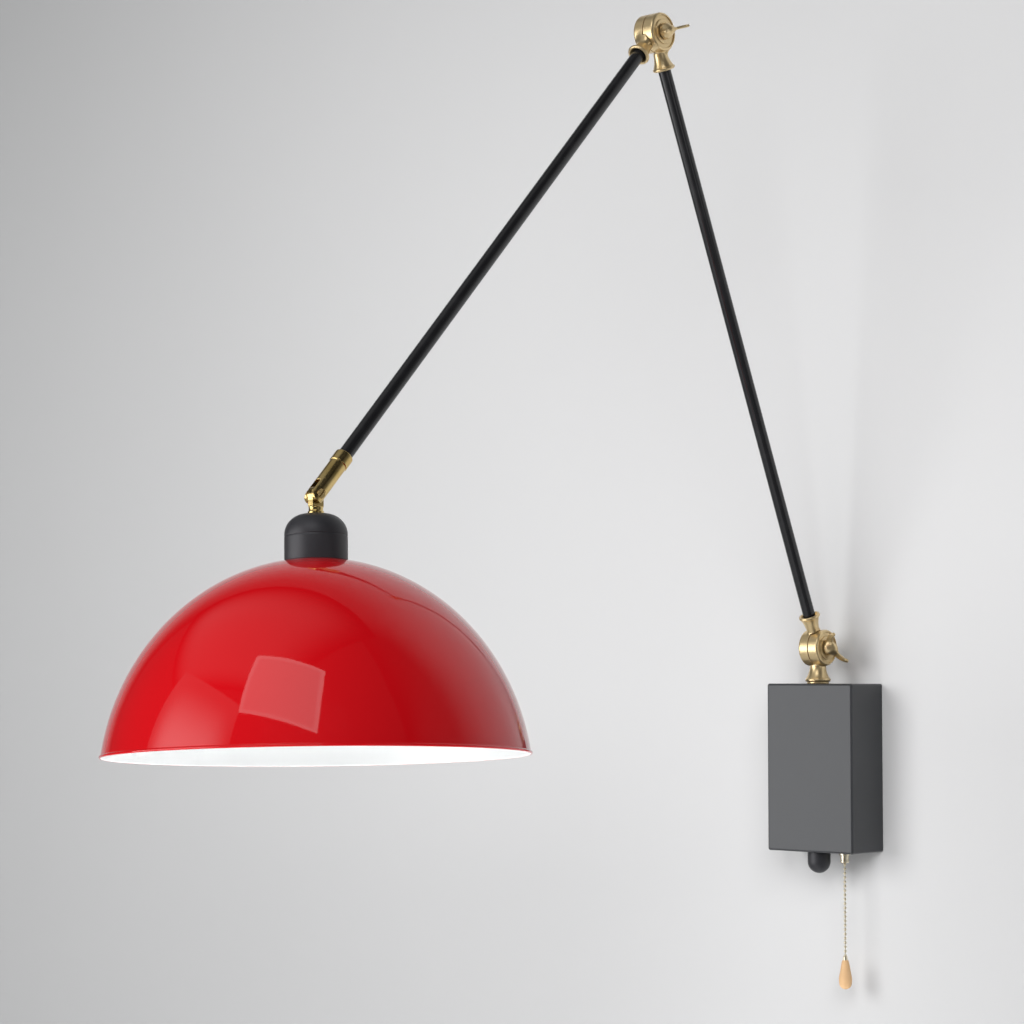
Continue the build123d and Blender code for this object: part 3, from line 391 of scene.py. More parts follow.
@dataclass(frozen=True)
class Skin:
    """Mesh of a form in local millimetres, with its normals and the hollows and edges of its surface."""

    points: np.ndarray
    faces: np.ndarray
    normals: np.ndarray
    hollow: np.ndarray
    edge: np.ndarray

    @classmethod
    def on(cls, form: Form, points: np.ndarray, faces: np.ndarray) -> "Skin":
        """Moves the points onto a form and reads how hollow or sharp it is there.

        Args:
            form: Solid.
            points: Points near its surface.
            faces: Quads between them.

        Returns:
            The finished mesh.
        """
        for _ in range(3):
            slope = cls.slope(form, points)
            size = np.maximum((slope**2).sum(axis=1), 0.2)
            step = np.clip(form.distance(points) / size, -0.2, 0.2)
            points = points - slope * step[:, None]
        slope = cls.slope(form, points)
        normals = slope / np.maximum(np.linalg.norm(slope, axis=1), 1e-6)[:, None]
        above, below = 1.6, 0.7
        hollow = np.clip(1 - form.distance(points + normals * above) / above, 0, 1)
        edge = np.clip(1 + form.distance(points - normals * below) / below, 0, 1)
        return cls(points, faces, normals, hollow, edge)

    @staticmethod
    def slope(form: Form, points: np.ndarray) -> np.ndarray:
        """Returns the gradient of a form's distance at points."""
        reach = 0.02
        steps = np.eye(3) * reach
        ahead = [form.distance(points + s) - form.distance(points - s) for s in steps]
        return np.column_stack(ahead) / (2 * reach)


# Meshes


def hand_over(made: bpy.types.Object, material: bpy.types.Material, *nodes: str) -> None:
    """Gives a finished piece its material and sets it in the place of its nodes.

    Args:
        made: Piece, in its place in the frame.
        material: Its material.
        *nodes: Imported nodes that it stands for, all on one body.
    """
    made.data.materials.clear()
    made.data.materials.append(material)
    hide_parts(*nodes)
    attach(made, body_of(frame["nodes"][nodes[0]])[0])
    log.info("%s: %d faces in %s", made.name, len(made.data.polygons), material.name)


def new_object(name: str, mesh: bpy.types.Mesh) -> bpy.types.Object:
    """Puts a mesh into the scene as an object at the origin."""
    made = bpy.data.objects.new(name, mesh)
    bpy.context.scene.collection.objects.link(made)
    return made


def cast(name: str, place: Place, form: Form, grid: Grid) -> bpy.types.Object:
    """Makes a piece from a form.

    Args:
        name: Name of the piece.
        place: Its place in the frame.
        form: Its solid.
        grid: Box and spacing of its mesh.

    Returns:
        The piece, smooth, with its hollows and edges as attributes.
    """
    skin = grid.surface(form)
    mesh = bpy.data.meshes.new(name)
    mesh.from_pydata(place.points(skin.points).tolist(), [], skin.faces.tolist())
    for label, values in (("hollow", skin.hollow), ("edge", skin.edge)):
        layer = mesh.attributes.new(label, "FLOAT", "POINT")
        layer.data.foreach_set("value", values.astype(np.float32))
    mesh.polygons.foreach_set("use_smooth", np.ones(len(mesh.polygons), bool))
    mesh.update()
    mesh.normals_split_custom_set_from_vertices((skin.normals @ place.turn()).tolist())
    return new_object(name, mesh)


@dataclass(frozen=True)
class Lathe:
    """Turned mesh about local z from an outline of radius and height."""

    outline: Sequence[Pair]
    closed: bool = True
    sides: int = 96

    def mesh(self, name: str, place: Place) -> bpy.types.Mesh:
        """Makes the mesh, with one point where the outline meets the axis.

        Args:
            name: Name of the mesh.
            place: Its place in the frame.

        Returns:
            The mesh, closed and with its faces outwards.
        """
        turns = np.linspace(0, 2 * math.pi, self.sides, endpoint=False)
        points, rings = [], []
        for radius, height in self.outline:
            if radius < 1e-6:
                rings.append([len(points)])
                points.append((0.0, 0.0, height))
                continue
            rings.append(list(range(len(points), len(points) + self.sides)))
            points += [(radius * math.cos(t), radius * math.sin(t), height) for t in turns]
        pairs = list(zip(rings, rings[1:])) + ([(rings[-1], rings[0])] if self.closed else [])
        faces = []
        for below, above in pairs:
            for i in range(self.sides):
                j = (i + 1) % self.sides
                if len(below) == 1 and len(above) == 1:
                    continue
                if len(below) == 1:
                    faces.append((below[0], above[j], above[i]))
                elif len(above) == 1:
                    faces.append((below[i], below[j], above[0]))
                else:
                    faces.append((below[i], below[j], above[j], above[i]))
        area = np.array(self.outline)
        ahead = np.roll(area, -1, axis=0)
        if np.sum(area[:, 0] * ahead[:, 1] - ahead[:, 0] * area[:, 1]) < 0:
            faces = [face[::-1] for face in faces]
        mesh = bpy.data.meshes.new(name)
        mesh.from_pydata(place.points(np.array(points)).tolist(), [], faces)
        mesh.polygons.foreach_set("use_smooth", np.ones(len(mesh.polygons), bool))
        mesh.update()
        return mesh

    def piece(self, name: str, place: Place) -> bpy.types.Object:
        """Makes the mesh and puts it into the scene."""
        return new_object(name, self.mesh(name, place))


# Nodes written as Python expressions

Operand = Union["Socket", float]


class NodeTree:
    """Node tree of a material or of a mesh, with one method that makes any node in it."""

    tree: bpy.types.NodeTree

    def node(
        self,
        kind: str,
        settings: Optional[dict] = None,
        values: Optional[dict] = None,
        output: Union[int, str] = 0,
    ) -> "Socket":
        """Makes a node, sets it up and links what feeds it.

        Args:
            kind: Type of the node, such as ShaderNodeTexNoise.
            settings: Its own settings, set before the sockets.
            values: Numbers, colours or sockets by input name or index.
            output: Name or index of the output that is wanted.

        Returns:
            The output, wrapped.
        """
        made = self.tree.nodes.new(kind)
        for key, value in (settings or {}).items():
            setattr(made, key, value)
        for key, value in (values or {}).items():
            if isinstance(value, Socket):
                self.tree.links.new(value.raw, made.inputs[key])
            else:
                made.inputs[key].default_value = value
        return Socket(self, made.outputs[output])


class Socket:
    """Output of a node that takes part in arithmetic: an expression on it adds Math nodes."""

    def __init__(self, graph: NodeTree, raw: bpy.types.NodeSocket) -> None:
        """Wraps a node's output."""
        self.graph = graph
        self.raw = raw

    def _math(self, operation: str, *operands: Operand) -> "Socket":
        """Adds one Math node over the operands."""
        values = dict(enumerate(operands))
        return self.graph.node("ShaderNodeMath", {"operation": operation}, values)

    def __add__(self, other: Operand) -> "Socket":
        """Sum of two values."""
        return self._math("ADD", self, other)

    __radd__ = __add__

    def __sub__(self, other: Operand) -> "Socket":
        """Difference of two values."""
        return self._math("SUBTRACT", self, other)

    def __rsub__(self, other: Operand) -> "Socket":
        """Difference, with the socket second."""
        return self._math("SUBTRACT", other, self)

    def __mul__(self, other: Operand) -> "Socket":
        """Product of two values."""
        return self._math("MULTIPLY", self, other)

    __rmul__ = __mul__

    def __truediv__(self, other: Operand) -> "Socket":
        """Quotient of two values."""
        return self._math("DIVIDE", self, other)

    def __lt__(self, other: Operand) -> "Socket":
        """1 where the value is less, else 0."""
        return self._math("LESS_THAN", self, other)

    def __pow__(self, other: Operand) -> "Socket":
        """Power of the value."""
        return self._math("POWER", self, other)

    def sine(self) -> "Socket":
        """Sine of the value, in radians."""
        return self._math("SINE", self)

    def smooth(self, low: float, high: float) -> "Socket":
        """0 below the low bound, 1 above the high one and smooth between."""
        values = {"Value": self, "From Min": low, "From Max": high}
        return self.graph.node("ShaderNodeMapRange", {"interpolation_type": "SMOOTHSTEP"}, values)

    def vector(
        self, operation: str, other: Union["Socket", Sequence[float]], output: str = "Vector"
    ) -> "Socket":
        """Vector maths with another vector."""
        values = {0: self, 1: other}
        return self.graph.node("ShaderNodeVectorMath", {"operation": operation}, values, output)


class Graph(NodeTree):
    """Node tree of one material."""

    def __init__(self, name: str) -> None:
        """Starts an empty material.

        Args:
            name: Name of the material.
        """
        self.material = bpy.data.materials.new(name)
        self.material.use_nodes = True
        self.tree = self.material.node_tree
        self.tree.nodes.clear()

    def position(self) -> Socket:
        """Returns the point of the surface in the frame, in metres."""
        return self.node("ShaderNodeTexCoord", output="Object")

    def attribute(self, name: str) -> Socket:
        """Returns a number that the mesh keeps at each point."""
        return self.node("ShaderNodeAttribute", {"attribute_name": name}, output="Fac")

    def noise(self, scale: float, detail: float = 2.0, where: Optional[Socket] = None) -> Socket:
        """Returns a soft noise between 0 and 1.

        Args:
            scale: Blotches per metre.
            detail: Octaves.
            where: Point that it is read at; the surface point if left out.

        Returns:
            The noise's value.
        """
        point = where if where is not None else self.position()
        values = {"Vector": point, "Scale": scale, "Detail": detail}
        return self.node("ShaderNodeTexNoise", values=values, output="Fac")

    def bump(self, height: Socket, distance: float, strength: float = 1.0) -> Socket:
        """Returns a normal disturbed by a height.

        Args:
            height: Height between 0 and 1.
            distance: Height of a step of 1, in metres.
            strength: Share of the effect.

        Returns:
            The normal.
        """
        values = {"Height": height, "Distance": distance, "Strength": strength}
        return self.node("ShaderNodeBump", values=values, output="Normal")

    def blend(self, share: Operand, low: Union[Colour, Socket], high: Union[Colour, Socket]) -> Socket:
        """Returns a mix of two colours.

        Args:
            share: Share of the second colour.
            low: First colour.
            high: Second colour.

        Returns:
            The mixed colour.
        """
        ends = [end if isinstance(end, Socket) else (*end, 1.0) for end in (low, high)]
        return self.node("ShaderNodeMix", {"data_type": "RGBA"}, {0: share, 6: ends[0], 7: ends[1]}, 2)

    def finish(self, **surface: Union[Socket, float, Colour]) -> bpy.types.Material:
        """Ends the tree in one surface shader.

        Args:
            **surface: Inputs of the shader, with spaces written as underscores.

        Returns:
            The material.
        """
        values = {}
        for key, value in surface.items():
            if isinstance(value, tuple):
                value = (*value, 1.0)
            values[key.replace("_", " ")] = value
        return self.end(self.node("ShaderNodeBsdfPrincipled", values=values))

    def end(self, shader: Socket) -> bpy.types.Material:
        """Links a shader to the material's output and returns the material."""
        last = self.tree.nodes.new("ShaderNodeOutputMaterial")
        self.tree.links.new(shader.raw, last.inputs["Surface"])
        return self.material


class Growth(NodeTree):
    """Geometry node tree with named sizes, which grows a plain mesh."""

    def __init__(self, name: str) -> None:
        """Starts an empty tree.

        Args:
            name: Name of the tree and of the piece that it grows.
        """
        self.name = name
        self.tree = bpy.data.node_groups.new(name, "GeometryNodeTree")
        for way in ("INPUT", "OUTPUT"):
            self.tree.interface.new_socket("Geometry", in_out=way, socket_type="NodeSocketGeometry")
        self.sizes: dict[str, float] = {}
        self.inputs = self.tree.nodes.new("NodeGroupInput")

    def size(self, name: str, value: float, kind: str = "NodeSocketFloat") -> Socket:
        """Adds a named size to the tree.

        Args:
            name: Name of the input.
            value: Its value for this piece.
            kind: Type of the socket.

        Returns:
            The input, as a socket.
        """
        made = self.tree.interface.new_socket(name, in_out="INPUT", socket_type=kind)
        self.sizes[made.identifier] = value
        return Socket(self, self.inputs.outputs[name])

    def start(self) -> Socket:
        """Returns the mesh that the tree is given."""
        return Socket(self, self.inputs.outputs["Geometry"])

    def joined(self, *parts: Socket) -> Socket:
        """Returns several meshes as one."""
        made = self.tree.nodes.new("GeometryNodeJoinGeometry")
        for part in parts:
            self.tree.links.new(part.raw, made.inputs[0])
        return Socket(self, made.outputs[0])

    def grow(self, last: Socket, material: bpy.types.Material, place: Place,
             seed_mesh: Optional[bpy.types.Mesh] = None) -> bpy.types.Object:
        """Runs the tree and keeps its result as a plain mesh in its place.

        Args:
            last: Mesh that the tree ends in.
            material: Material of the piece.
            place: Its place in the frame; the tree works in metres.
            seed_mesh: Mesh that the tree is given.

        Returns:
            The piece.
        """
        real = self.node("GeometryNodeRealizeInstances", values={0: last})
        smooth = self.node("GeometryNodeSetShadeSmooth", values={0: real})
        dressed = self.node("GeometryNodeSetMaterial", values={"Geometry": smooth, "Material": material})
        out = self.tree.nodes.new("NodeGroupOutput")
        self.tree.links.new(dressed.raw, out.inputs[0])
        holder = new_object(self.name, seed_mesh or bpy.data.meshes.new(self.name))
        modifier = holder.modifiers.new(self.name, "NODES")
        modifier.node_group = self.tree
        for identifier, value in self.sizes.items():
            modifier[identifier] = value
        bpy.context.view_layer.update()
        evaluated = holder.evaluated_get(bpy.context.evaluated_depsgraph_get())
        grown = bpy.data.meshes.new_from_object(evaluated)
        holder.modifiers.remove(modifier)
        holder.data = grown
        turn = Matrix(place.turn().tolist()).transposed().to_4x4()
        grown.transform(Matrix.Translation(place.origin) @ turn)
        return holder


# Finishes


@dataclass(frozen=True)
class Brass:
    """Cast or turned brass under a thin lacquer, darkened by painted shade in its hollows and brighter on its edges.
    """

    name: str
    light: Colour
    deep: Colour
    hollow_shade: Colour
    roughness: float
    grain_height: float = 0.000007

    def material(self) -> bpy.types.Material:
        """Builds the material: clouded colour, uneven polish, a fine cast grain and painted shade in the hollows."""
        graph = Graph(self.name)
        cloud = graph.noise(85.0, 4.0)
        grain = graph.noise(1500.0, 3.0)
        handled = graph.noise(240.0, 5.0).smooth(0.35, 0.7)
        hollow = graph.attribute("hollow").smooth(0.08, 0.75)
        edge = graph.attribute("edge").smooth(0.1, 0.6)
        metal = graph.blend(cloud.smooth(0.3, 0.75), self.deep, self.light)
        # painted shade: the colour darkens towards the third colour where the surface lies in a hollow
        shaded_metal = graph.blend(hollow * (0.55 + 0.35 * handled), metal, self.hollow_shade)
        return graph.finish(
            Base_Color=graph.blend(edge * 0.5, shaded_metal, self.light),
            Metallic=1.0,
            Roughness=self.roughness + handled * 0.1 + grain * 0.05 + hollow * 0.16 - edge * 0.05,
            Normal=graph.bump(grain, self.grain_height, 0.6),
        )


@dataclass(frozen=True)
class Enamel:
    """Sprayed black enamel over metal."""

    name: str
    colour: Colour
    worn: Colour
    roughness: float
    peel_scale: float = 700.0
    peel_height: float = 0.000006

    def material(self) -> bpy.types.Material:
        """Builds the material: fine orange peel, a patchy sheen and a few dust nibs."""
        graph = Graph(self.name)
        peel = graph.noise(self.peel_scale, 2.0)
        patch = graph.noise(70.0, 4.0)
        nibs = graph.noise(1300.0, 1.0).smooth(0.76, 0.84)
        return graph.finish(
            Base_Color=graph.blend(patch.smooth(0.45, 0.8), self.colour, self.worn),
            Roughness=self.roughness + patch * 0.06 + nibs * 0.15,
            Normal=graph.bump(peel + nibs * 0.6, self.peel_height, 0.5),
        )


@dataclass(frozen=True)
class PowderCoat:
    """Fine-textured powder coat of the wall box."""

    name: str = "powder_coat"
    colour: Colour = (0.031, 0.0325, 0.0355)
    roughness: float = 0.26

    def material(self) -> bpy.types.Material:
        """Builds the material: a tight grain, faint clouds and a few paler rubs."""
        graph = Graph(self.name)
        grain = graph.noise(2600.0, 2.0)
        cloud = graph.noise(28.0, 3.0)
        rub = graph.noise(120.0, 6.0).smooth(0.62, 0.8)
        lighter = tuple(value * 1.35 for value in self.colour)
        return graph.finish(
            Base_Color=graph.blend(cloud, self.colour, lighter),
            Roughness=self.roughness + cloud * 0.08 - rub * 0.012,
            Specular_IOR_Level=0.38,
            Normal=graph.bump(grain, 0.000006, 0.5),
        )


@dataclass(frozen=True)
class Plating:
    """Plated steel or brass of the hardware and the chain."""

    name: str
    colour: Colour
    shade: Colour
    roughness: float = 0.25
    grain: float = 1200.0

    def material(self) -> bpy.types.Material:
        """Builds the material: mottled plating with a fine grain."""
        graph = Graph(self.name)
        mottle = graph.noise(180.0, 4.0)
        grain = graph.noise(self.grain, 2.0)
        return graph.finish(
            Base_Color=graph.blend(mottle.smooth(0.35, 0.75), self.colour, self.shade),
            Metallic=1.0,
            Roughness=self.roughness + mottle * 0.14,
            Normal=graph.bump(grain, 0.00001, 0.5),
        )


@dataclass(frozen=True)
class Moulding:
    """Moulded plastic, rubber or fibre."""

    name: str
    colour: Colour
    roughness: float = 0.45
    grain: float = 900.0

    def material(self) -> bpy.types.Material:
        """Builds the material: a faint mould texture and uneven sheen."""
        graph = Graph(self.name)
        flow = graph.noise(60.0, 3.0)
        grain = graph.noise(self.grain, 2.0)
        paler = tuple(min(1.0, value * 1.25 + 0.004) for value in self.colour)
        return graph.finish(
            Base_Color=graph.blend(flow, self.colour, paler),
            Roughness=self.roughness + flow * 0.1,
            Normal=graph.bump(grain, 0.00003, 0.4),
        )


@dataclass(frozen=True)
class ShadeEnamel:
    """Gloss enamel of the shade: red outside and white inside."""

    centre: Vector
    axis: Vector
    across: float
    along: float
    name: str = "shade_enamel"
    red: Colour = (0.53, 0.0042, 0.0078)
    deep_red: Colour = (0.48, 0.0034, 0.0066)
    white: Colour = (0.88, 0.89, 0.89)

    def material(self) -> bpy.types.Material:
        """Builds the material: the colour changes over at the middle of the wall."""
        graph = Graph(self.name)
        offset = graph.position().vector("SUBTRACT", tuple(self.centre))
        height = offset.vector("DOT_PRODUCT", tuple(self.axis), output="Value")
        length = offset.vector("LENGTH", (0.0, 0.0, 0.0), output="Value")
        out = length**2.0 - height**2.0
        inside = out / self.across**2 + height**2.0 / self.along**2 < 1.0
        peel = graph.noise(130.0, 2.0)
        dust = graph.noise(35.0, 5.0)
        outer = graph.blend(graph.noise(9.0, 2.0), self.deep_red, self.red)
        return graph.finish(
            Base_Color=graph.blend(inside, outer, self.white),
            Roughness=0.025 + dust * 0.035 + inside * 0.24,
            Normal=graph.bump(peel, 0.00005, 0.22),
        )


@dataclass(frozen=True)
class HoneyWood:
    """Turned and oiled wood of the drop, with its grain along the piece."""

    name: str = "honey_wood"
    pale: Colour = (0.57, 0.35, 0.095)
    dark: Colour = (0.40, 0.21, 0.045)

    def material(self) -> bpy.types.Material:
        """Builds the material: long streaks of grain under oil."""
        graph = Graph(self.name)
        mapping = {"Vector": graph.position(), "Scale": (1100.0, 1100.0, 60.0)}
        streaks = graph.noise(1.0, 5.0, graph.node("ShaderNodeMapping", values=mapping))
        pores = graph.noise(1.0, 1.0, graph.node("ShaderNodeMapping", values={
            "Vector": graph.position(), "Scale": (3800.0, 3800.0, 420.0)}))
        return graph.finish(
            Base_Color=graph.blend(streaks.smooth(0.3, 0.7), self.dark, self.pale),
            Roughness=0.3 + streaks * 0.15,
            Coat_Weight=0.35,
            Normal=graph.bump(streaks + pores * 0.5, 0.00004, 0.4),
        )


class Finish(Enum):
    """Finishes that pieces share."""

    # The third colour of each brass is the painted shade of its hollows.
    BRASS = Brass("satin_brass", (0.80, 0.60, 0.235), (0.66, 0.46, 0.15), (0.28, 0.155, 0.035), 0.19)
    POLISHED = Brass(
        "polished_brass", (0.74, 0.56, 0.25), (0.62, 0.45, 0.165), (0.26, 0.15, 0.035), 0.12, 0.000003
    )
    BLACK = Enamel("satin_black", (0.009, 0.009, 0.010), (0.014, 0.014, 0.0155), 0.16)
    CAP = Enamel("cap_black", (0.0075, 0.0075, 0.008), (0.011, 0.011, 0.0115), 0.04, 420.0, 0.000002)
    BOX = PowderCoat()
    ZINC = Plating("zinc_plate", (0.60, 0.61, 0.63), (0.45, 0.46, 0.49), 0.3)
    BRIGHT_BRASS = Plating("bright_brass", (0.78, 0.58, 0.26), (0.62, 0.42, 0.16), 0.2)
    CHAIN = Plating("chain_brass", (0.86, 0.78, 0.58), (0.76, 0.64, 0.42), 0.14)
    NICKEL = Plating("nickel_plate", (0.74, 0.71, 0.66), (0.60, 0.57, 0.52), 0.18)
    NYLON = Moulding("black_nylon", (0.012, 0.012, 0.013), 0.42)
    RUBBER = Moulding("grommet_rubber", (0.015, 0.015, 0.015), 0.7, 1500.0)
    TERMINAL = Moulding("terminal_plastic", (0.72, 0.72, 0.68), 0.4)
    FIBRE = Moulding("washer_fibre", (0.20, 0.11, 0.04), 0.6, 2200.0)
    FLEX = Moulding("flex_sheath", (0.013, 0.013, 0.013), 0.5)
    WIRE = Moulding("wire_sheath", (0.16, 0.055, 0.025), 0.4)
    HOLDER = Moulding("holder_moulding", (0.012, 0.012, 0.012), 0.24)
    WOOD = HoneyWood()

    def material(self) -> bpy.types.Material:
        """Returns the material, built the first time it is asked for."""
        made = bpy.data.materials.get(self.value.name)
        return made if made is not None else self.value.material()


def dress(finish: Union[Finish, bpy.types.Material], *nodes: str) -> None:
    """Gives carried-over nodes their finish.

    Args:
        finish: Finish, or a material of the piece's own.
        *nodes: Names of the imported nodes.
    """
    material = finish.material() if isinstance(finish, Finish) else finish
    for node in nodes:
        mesh = frame["nodes"][node].data
        mesh.materials.clear()
        mesh.materials.append(material)
        log.info("%s dressed in %s", node, material.name)


# Sub-assemblies


@dataclass
class WallBox:
    """Steel box on the wall, with what is screwed into it."""

    half_height: float = 68.5
    screw_x: float = 31.5
    screw_from_wall: float = 7.0
    screw_radius: float = 1.75
    head_radius: float = 2.9
    head_height: float = 1.4
    screw_length: float = 8.0
    recess_reach: float = 1.7
    recess_width: float = 0.6
    recess_depth: float = 1.1
    swivel_from_wall: float = 30.5
    dome_radius: float = 9.3
    dome_height: float = 17.4
    dome_bore: float = 5.0
    dome_thread_depth: float = 12.0

    def build(self) -> None:
        """Dresses the box, its plate and its terminals, and makes its screws and cap nut."""
        dress(Finish.BOX, "box_cover")
        dress(Finish.ZINC, "back_plate", "block_screws", "terminal_screws", "swivel_rod", "lock_nuts")
        dress(Finish.BRIGHT_BRASS, "earth_screw", "earth_tag")
        dress(Finish.RUBBER, "cable_grommet")
        dress(Finish.TERMINAL, "terminal_block")
        dress(Finish.NYLON, "top_bush", "bottom_bush")
        self.make_cover_screws()
        self.make_dome_cap()

    def countersunk_screw(self) -> bpy.types.Mesh:
        """Makes one countersunk screw with a cross recess, its head at the origin and its tip on +z."""
        body = turned(rounded([
            (0.0, 0.0, 0.0),
            (self.head_radius, 0.0, 0.15),
            (self.screw_radius, self.head_height, 0.2),
            (self.screw_radius, self.screw_length, 0.35),
            (0.0, self.screw_length, 0.0),
        ], closed=False))
        depth = slab(2, -self.recess_depth, self.recess_depth)
        half, reach = self.recess_width / 2, self.recess_reach
        for long, short in ((0, 1), (1, 0)):
            arm = slab(long, -reach, reach).shared(slab(short, -half, half), 0.0).shared(depth, 0.0)
            body = body.cut(arm, 0.12)
        side = self.head_radius + 0.4
        grid = Grid((-side, -side, -0.4), (side, side, self.screw_length + 0.4), 0.2)
        skin = grid.surface(body)
        mesh = bpy.data.meshes.new("countersunk_screw")
        mesh.from_pydata((skin.points * MM).tolist(), [], skin.faces.tolist())
        return mesh

    def make_cover_screws(self) -> None:
        """Sets the four cover screws, two in the top and two in the bottom of the cover."""
        one = new_object("countersunk_screw", self.countersunk_screw())
        spots, turns = [], []
        for side in (-1, 1):
            for end in (1, -1):
                spot = (side * self.screw_x, -self.screw_from_wall, end * self.half_height)
                spots.append(tuple(c * MM for c in spot))
                turns.append((math.pi if end > 0 else 0.0, 0.0, 0.4 * side + 0.2 * end))
        seeds = bpy.data.meshes.new("screw_places")
        seeds.from_pydata(spots, [], [])
        layer = seeds.attributes.new("turn", "FLOAT_VECTOR", "POINT")
        layer.data.foreach_set("vector", np.array(turns, np.float32).ravel())
        growth = Growth("cover_screw_set")
        size = growth.size("Size", 1.0)
        screw = growth.node(
            "GeometryNodeObjectInfo", {"transform_space": "ORIGINAL"}, {"Object": one}, "Geometry"
        )
        turn = growth.node(
            "GeometryNodeInputNamedAttribute", {"data_type": "FLOAT_VECTOR"}, {"Name": "turn"}, "Attribute"
        )
        placed = growth.node("GeometryNodeInstanceOnPoints", values={
            "Points": growth.start(), "Instance": screw, "Rotation": turn, "Scale": size,
        })
        upright = Place(Vector(), RIGHT, Vector((0.0, 1.0, 0.0)), UP)
        made = growth.grow(placed, Finish.ZINC.material(), upright, seeds)
        bpy.data.objects.remove(one)
        hand_over(made, Finish.ZINC.material(), "cover_screws")

    def make_dome_cap(self) -> None:
        """Turns the domed cap nut under the box."""
        straight = self.dome_height - self.dome_radius
        quarter = arc(
            (self.dome_radius, straight),
            (self.dome_radius * math.sqrt(0.5), straight + self.dome_radius * math.sqrt(0.5)),
            (0.0, self.dome_height),
            24,
        )
        foot = rounded([
            (0.0, self.dome_thread_depth, 0.0),
            (self.dome_bore, self.dome_thread_depth, 0.0),
            (self.dome_bore, 0.0, 0.2),
            (self.dome_radius, 0.0, 0.7),
            (self.dome_radius, straight, 0.0),
        ], closed=False)
        place = Place.along(Vector((0, -self.swivel_from_wall, -self.half_height)) * MM, DOWN, RIGHT)
        made = Lathe(foot + quarter[1:], closed=False).piece("domed_nut", place)
        hand_over(made, Finish.CAP.material(), "dome_cap")


@dataclass
class PullSwitch:
    """Pull switch on the floor of the box, with its ferrule and ring nut."""

    x: float = 19.3
    from_wall: float = 22.0
    box_floor: float = -68.5
    ferrule_radius: float = 3.6
    ferrule_drop: float = 8.8
    ferrule_top: float = 4.5
    bore_radius: float = 1.8
    mouth_flare: float = 1.0
    nut_radius: float = 4.7
    nut_height: float = 2.5
    thread_pitch: float = 0.75
    thread_depth: float = 0.16

    def build(self) -> None:
        """Dresses the switch and makes its ferrule and nut."""
        dress(Finish.NYLON, "switch_body", "switch_lid")
        dress(Finish.WIRE, "switch_wires")
        dress(Finish.ZINC, "switch_spring")
        dress(Finish.BRIGHT_BRASS, "switch_slider")
        place = Place.along(Vector((self.x, -self.from_wall, self.box_floor)) * MM, DOWN, RIGHT)
        ferrule = self.ferrule(place)
        hand_over(ferrule, Finish.CHAIN.material(), "switch_ferrule")
        nut = Lathe(rounded([
            (self.ferrule_radius, 0.0, 0.1),
            (self.nut_radius, 0.0, 0.15),
            (self.nut_radius, self.nut_height, 0.5),
            (self.ferrule_radius, self.nut_height, 0.2),
        ], closed=True), sides=64).piece("ferrule_nut", place)
        hand_over(nut, Finish.CHAIN.material(), "switch_nut")

    def ferrule(self, place: Place) -> bpy.types.Object:
        """Turns the ferrule, with ridges where it is threaded and a belled mouth.

        Args:
            place: Middle of the hole in the floor of the box, with z down.

        Returns:
            The piece.
        """
        start, end = -self.ferrule_top, self.ferrule_drop
        threaded = end - 2.2
        turns = int((threaded - start) / self.thread_pitch)
        ridges = []
        for i in range(turns):
            crest = start + (i + 0.5) * self.thread_pitch
            ridges += [
                (self.ferrule_radius - self.thread_depth, crest - self.thread_pitch / 2),
                (self.ferrule_radius, crest),
            ]
        mouth = rounded([
            (self.ferrule_radius - self.thread_depth, threaded, 0.0),
            (self.ferrule_radius, threaded + 0.3, 0.2),
            (self.ferrule_radius, end - 0.5, 0.5),
            (self.bore_radius + self.mouth_flare, end, 0.2),
            (self.bore_radius, end - 2 * self.mouth_flare, 0.6),
            (self.bore_radius, start, 0.0),
        ], closed=False)
        return Lathe(ridges + mouth, sides=64).piece("threaded_ferrule", place)


